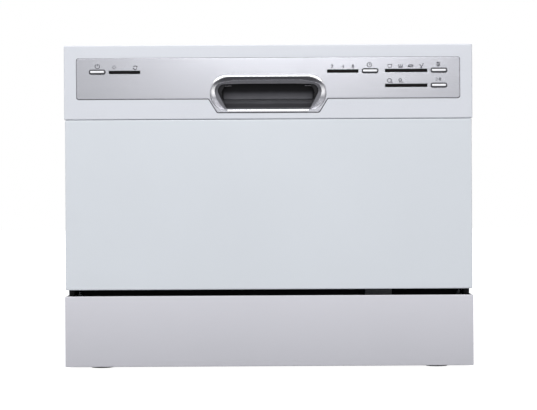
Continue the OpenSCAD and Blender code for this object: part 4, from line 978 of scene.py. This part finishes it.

# ---- Push buttons ----
# Four ABS caps: a glossy white face on a sloping skirt coloured dark grey as painted shade, which shows as a
# grey outline that is a little wider below. Each has a short stem behind it.

# The face's mould was polished; the skirt is smooth, and its dark grey is painted shade for the gap round the
# cap.
button_white = textured("polished_white_abs", "#F6F7FA", 0.2, 1.5, 0.008, spread=0.008)
skirt_shade = textured("button_skirt_painted_shade", "#3C3C41", 0.3, 1.0, 0.02, mirror=0.25)
key_face = FRONT - 2
for name, (x, z) in BUTTONS.items():
    shape = bmesh.new()
    put = FACING["front"](key_face)
    base = bar_outline(x, z, KEY_X, KEY_Z, 2.6)
    face = box_outline((x - 9.6, x + 9.6), (z - 1.2, z + 1.6), 1.35, 6)
    rings = [(base, 1.5, 0), (grown(base, -0.12), 1.2, 0), (face, 0.5, 0), (grown(face, -0.1), 0.26, 1),
             (grown(face, -0.3), 0.08, 1), (grown(face, -0.6), 0, 1)]
    last = add_ring(shape, put, base, 5.0)
    for outline, depth, skin in rings:
        ring = add_ring(shape, put, outline, depth)
        join_rings(shape, last, ring, skin)
        last = ring
    fill_between(shape, [(outline, last)], 1)
    fill_between(shape, [(base, add_ring(shape, put, base, 5.0))])
    add_turned(shape, [(0, -245), (2.4, -245), (2.4, -241.7), (0, -241.2)], (x, 0, z), "y", 16)
    finish_piece(name + "_key", shape, [skirt_shade, button_white], name + "_button",
                 [name + "_button"])

# ---- Indicator windows ----
# Smoked acrylic strips pushed in from behind, flush with the silver panel. They are nearly
# black and very smooth.
smoked_acrylic = textured("smoked_acrylic", "#09090B", 0.14, 3.0, 0.004, 1.49, mirror=0.15)
shape = bmesh.new()
for x, z, w in WINDOWS:
    add_pressing(shape, "front", PANEL_FACE, bar_outline(x, z, w / 2, WINDOW_Z, 0.15, 2), sheet=3.8,
                 edge=0.15)
finish_piece("smoked_windows", shape, [smoked_acrylic], "door", ["indicator_windows"])

# ---- Printed symbols ----
# Grey pad printing on the silver panel over the buttons and windows: plain symbols and
# the numbers 2, 4 and 8. The ink is matt, and its lines are a little under a millimetre wide.

PRINT_WIDTH = 0.95
print_grey = textured("grey_pad_print", "#4E4F55", 0.6, 1.0, 0.004, mirror=0.2)


def arc_of(x, z, radius, start=0, end=360, squash=1.0):
    """Points along an arc between two angles in degrees, in steps of about 20."""
    count = max(6, int(abs(end - start) / 20))
    return [(x + radius * math.cos(math.radians(start + (end - start) * k / count)),
             z + radius * squash * math.sin(math.radians(start + (end - start) * k / count)))
            for k in range(count + 1)]


def add_stroke(shape, points):
    """A printed line: a flat ribbon just proud of the panel."""
    line = [Vector(p) for p in points]
    closed = (line[0] - line[-1]).length < 1e-6
    for i, here in enumerate(line):
        before = line[i - 1] if i else (line[-2] if closed else here)
        after = line[i + 1] if i < len(line) - 1 else (line[1] if closed else here)
        along = (after - before).normalized()
        out = Vector((-along.y, along.x)) * PRINT_WIDTH / 2
        pair = [shape.verts.new(Vector((p.x, PANEL_FACE - 0.04, p.y)) * MM) for p in (here + out, here - out)]
        if i:
            shape.faces.new((last[0], pair[0], pair[1], last[1]))
        last = pair


def print_mark(name, x, z, *lines):
    """One symbol: its lines are given about its own centre."""
    shape = bmesh.new()
    for line in lines:
        add_stroke(shape, [(x + a, z + b) for a, b in line])
    finish_piece(name, shape, [print_grey], "door")


print_mark("power_mark", -229.8, 409.6, arc_of(0, 0, 3.0, 120, 420), [(0, 0.4), (0, 3.6)])
print_mark("salt_mark", -207.2, 408.4, [(1.5, 0), (2.8, 0)], [(-0.75, 1.3), (-1.4, 2.4)],
           [(0.75, 1.3), (1.4, 2.4)], [(-1.5, 0), (-2.8, 0)], [(-0.75, -1.3), (-1.4, -2.4)],
           [(0.75, -1.3), (1.4, -2.4)])
print_mark("rinse_mark", -178.8, 407.8, arc_of(0, 0, 2.4, 20, 160), arc_of(0, 0, 2.4, 200, 340),
           [(3.3, 2.0), (2.2, 0.7), (1.2, 1.9)], [(-3.3, -2.0), (-2.2, -0.7), (-1.2, -1.9)])
print_mark("two_mark", 86.2, 408.2, arc_of(0, 0.9, 1.2, 170, -30) + [(-1.3, -1.9), (1.6, -1.9)])
print_mark("four_mark", 100.6, 408.2, [(0.8, -2.0), (0.8, 2.1), (-1.6, -0.7), (1.8, -0.7)])
print_mark("eight_mark", 114.3, 408.2, arc_of(0, 1.1, 1.0), arc_of(0, -1.0, 1.2))
print_mark("clock_mark", 136.4, 410.1, arc_of(0, 0, 3.0), [(0, 1.9), (0, 0), (1.6, 0)])
print_mark("pot_mark", 163.9, 408.6, [(-2.3, 2.0), (-2.3, -2.0), (2.3, -2.0), (2.3, 2.0), (-2.3, 2.0)],
           [(-3.3, 1.2), (-2.3, 1.2)], [(2.3, 1.2), (3.3, 1.2)])
print_mark("tray_mark", 178.4, 408.5, [(-3.1, 2.0), (-2.3, -0.8), (2.3, -0.8), (3.1, 2.0)],
           [(-2.7, -2.1), (2.7, -2.1)], [(-0.8, 1.8), (0.8, 0.3)])
print_mark("leaf_mark", 192, 408.5, arc_of(0, 0, 3.2, 0, 360, 0.5), [(-3.9, -1.0), (2.4, 0.4)])
print_mark("glass_mark", 206.5, 408.6, [(-2.0, 2.6), (-1.6, 0.3), (0, -0.6), (1.6, 0.3), (2.0, 2.6)],
           [(0, -0.6), (0, -2.6)], [(-1.4, -2.7), (1.4, -2.7)], [(1.8, 2.7), (3.0, 3.2)])
print_mark("program_mark", 229.3, 410.5, [(-2.6, 2.2), (2.6, 2.2)], [(-2.6, 0), (2.6, 0)],
           [(-2.6, -2.2), (2.6, -2.2)], arc_of(-0.9, 2.2, 0.6), arc_of(1.1, 0, 0.6), arc_of(-0.3, -2.2, 0.6))
print_mark("wash_mark", 163.9, 388.6, arc_of(-0.5, 0.3, 2.6), [(0.9, -2.0), (3.4, -2.0)],
           [(1.1, -1.2), (3.3, -2.8)])
print_mark("drops_mark", 178.7, 388.6, arc_of(-0.9, 0.9, 1.8), [(-1.8, -1.2), (-1.2, -2.7)],
           [(0.9, -1.4), (1.5, -2.8)], [(2.5, -1.2), (3.1, -2.7)])
print_mark("start_mark", 229.2, 390.5, [(-3.1, 2.1), (-3.1, -2.1), (0.5, 0), (-3.1, 2.1)],
           [(1.6, 2.1), (1.6, -2.1)], [(3.1, 2.1), (3.1, -2.1)])

# ---- Circuit boards ----
# Two glass-epoxy boards screwed behind the fascia. The green solder mask over their copper
# tracks is glossy and uneven.
dress(textured("green_solder_mask", "#2E6B45", 0.3, 1.2, 0.03, spread=0.2), ["control_board"], 0.2)

# ---- Detergent dispenser ----
# A grey moulding let into the inner door: the sliding lid over the powder cup on the left,
# the quarter-turn cap of the rinse aid tank on the right.

# Both polypropylenes have a fine satin grain; the lid's is a darker grey.
dress(textured("silver_grey_polypropylene", "#C3C6CA", 0.4, 1.4, 0.03), ["dispenser_body"], 0.8)
lid_grey = textured("mid_grey_polypropylene", "#A2A7AD", 0.34, 1.2, 0.03)
shape = bmesh.new()
add_pressing(shape, "back", -196.7, box_outline((-75, 15), (244.6, 296.6), 3, 6), sheet=2.5, edge=0.9)
add_block(shape, (-50, -196.9, 252.6), (-10, -194.2, 256.6), 1.1, steps=3)
for k in range(5):
    add_block(shape, (-48, -196.9, 274 + k * 3.4), (-12, -196.1, 275.2 + k * 3.4), 0.3)
finish_piece("powder_lid", shape, [lid_grey], "dispenser_lid", ["dispenser_lid"])
# Blue-grey ABS with a slight gloss marks the cap that is turned by hand.
rinse_blue_grey = textured("blue_grey_abs", "#54606C", 0.32, 1.2, 0.03)
shape = bmesh.new()
add_turned(shape, [(0, -205.2), (12, -205.2), (12, -199.2), (18, -199.2), (18, -197.4), (17.2, -196.4),
                   (15.5, -196.2), (14.6, -196.8), (0, -196.8)], (52, 0, 264.6), "y", 44)
for x, z in circle(52, 264.6, 17.4, 24):
    add_turned(shape, [(0, -199), (0.6, -199), (0.6, -197), (0, -196.6)], (x, 0, z), "y", 6)
add_block(shape, (39.5, -197, 262.6), (64.5, -193.4, 266.6), 1.3, steps=3)
finish_piece("rinse_lid", shape, [rinse_blue_grey], "rinse_aid_cap", ["rinse_aid_cap"])

# ---- Basket ----
# Welded steel wire coated in grey polyamide, with folding tines, a cup shelf, a moulded
# cutlery basket and four acetal wheels that run on the tub's ledges.

# The coat is dipped: thick, soft in its gloss and slightly lumpy.
dress(textured("polyamide_coated_wire", "#8F949A", 0.42, 2.4, 0.05),
      ["basket_wires", "plate_tines", "cup_shelf"], 0)
# Slate-grey polypropylene with a satin grain.
dress(textured("slate_grey_polypropylene", "#5D646B", 0.45, 1.4, 0.04), ["cutlery_basket"], 0.5)
# Grey acetal: dense, smooth and a little waxy.
wheel_acetal = textured("grey_acetal", "#CDD0D3", 0.35, 1.6, 0.02)
axle_z = 160.9
for name, y in (("front_wheels", -114), ("rear_wheels", 152)):
    shape = bmesh.new()
    for side in (-1, 1):
        rim = [(3.09, 230), (5, 230), (5.3, 230.4), (5.3, 231.8), (8.2, 231.8), (8.6, 230.3), (10.3, 230),
               (11, 230.8), (11, 233.4), (10.6, 233.8), (10.6, 234.2), (11, 234.6), (11, 237.2), (10.3, 238),
               (8.6, 237.7), (8.2, 236.2), (5.3, 236.2), (5.3, 237.6), (5, 238), (3.09, 238), (3.09, 230)]
        add_turned(shape, [(r, side * h) for r, h in rim], (0, y, axle_z), "x", 36)
        rib = [(0, 230.6), (0.9, 230.8), (0.9, 237.2), (0, 237.4)]
        for rib_y, rib_z in circle(y, axle_z, 6.7, 6):
            add_turned(shape, [(r, side * h) for r, h in rib], (0, rib_y, rib_z), "x", 8)
    finish_piece("turned_" + name, shape, [wheel_acetal], name, [name])

# ---- Spray arm ----
# Two welded halves of grey polypropylene on a hub that turns over the sump, with a row of
# nozzles in each wing and a rib along its top.

# Pale grey polypropylene, satin from its mould.
arm_grey = textured("light_grey_polypropylene", "#D2D4D4", 0.36, 1.4, 0.03)
shape = bmesh.new()
arm_outline = rounded([(-188, 1), (-40, -9), (40, -9), (188, -5), (188, 19), (40, 29), (-40, 29), (-188, 25)],
                      [8, 20, 20, 8, 8, 20, 20, 8], 8)
nozzles = [circle(side * (28 + i * 25), 10 + side * (5 if i % 2 == 0 else -3), 1.8, 12)
           for side in (-1, 1) for i in range(1, 7)]
hub_bore = circle(0, 10, 6.09, 28)
add_pressing(shape, "top", 148.3, arm_outline, nozzles + [hub_bore], sheet=12, edge=3.2, hole_edge=0.5, arc=5)
add_turned(shape, [(6.1, 148.2), (6.1, 150.6), (9, 150.6), (13, 150.0), (19, 148.1)], (0, 10, 0), steps=36)
for side in (-1, 1):
    add_block(shape, (side * 30, 9, 147.9), (side * 150, 11, 149.2), 0.5)
finish_piece("welded_spray_arm", shape, [arm_grey], "spray_arm", ["spray_arm"])
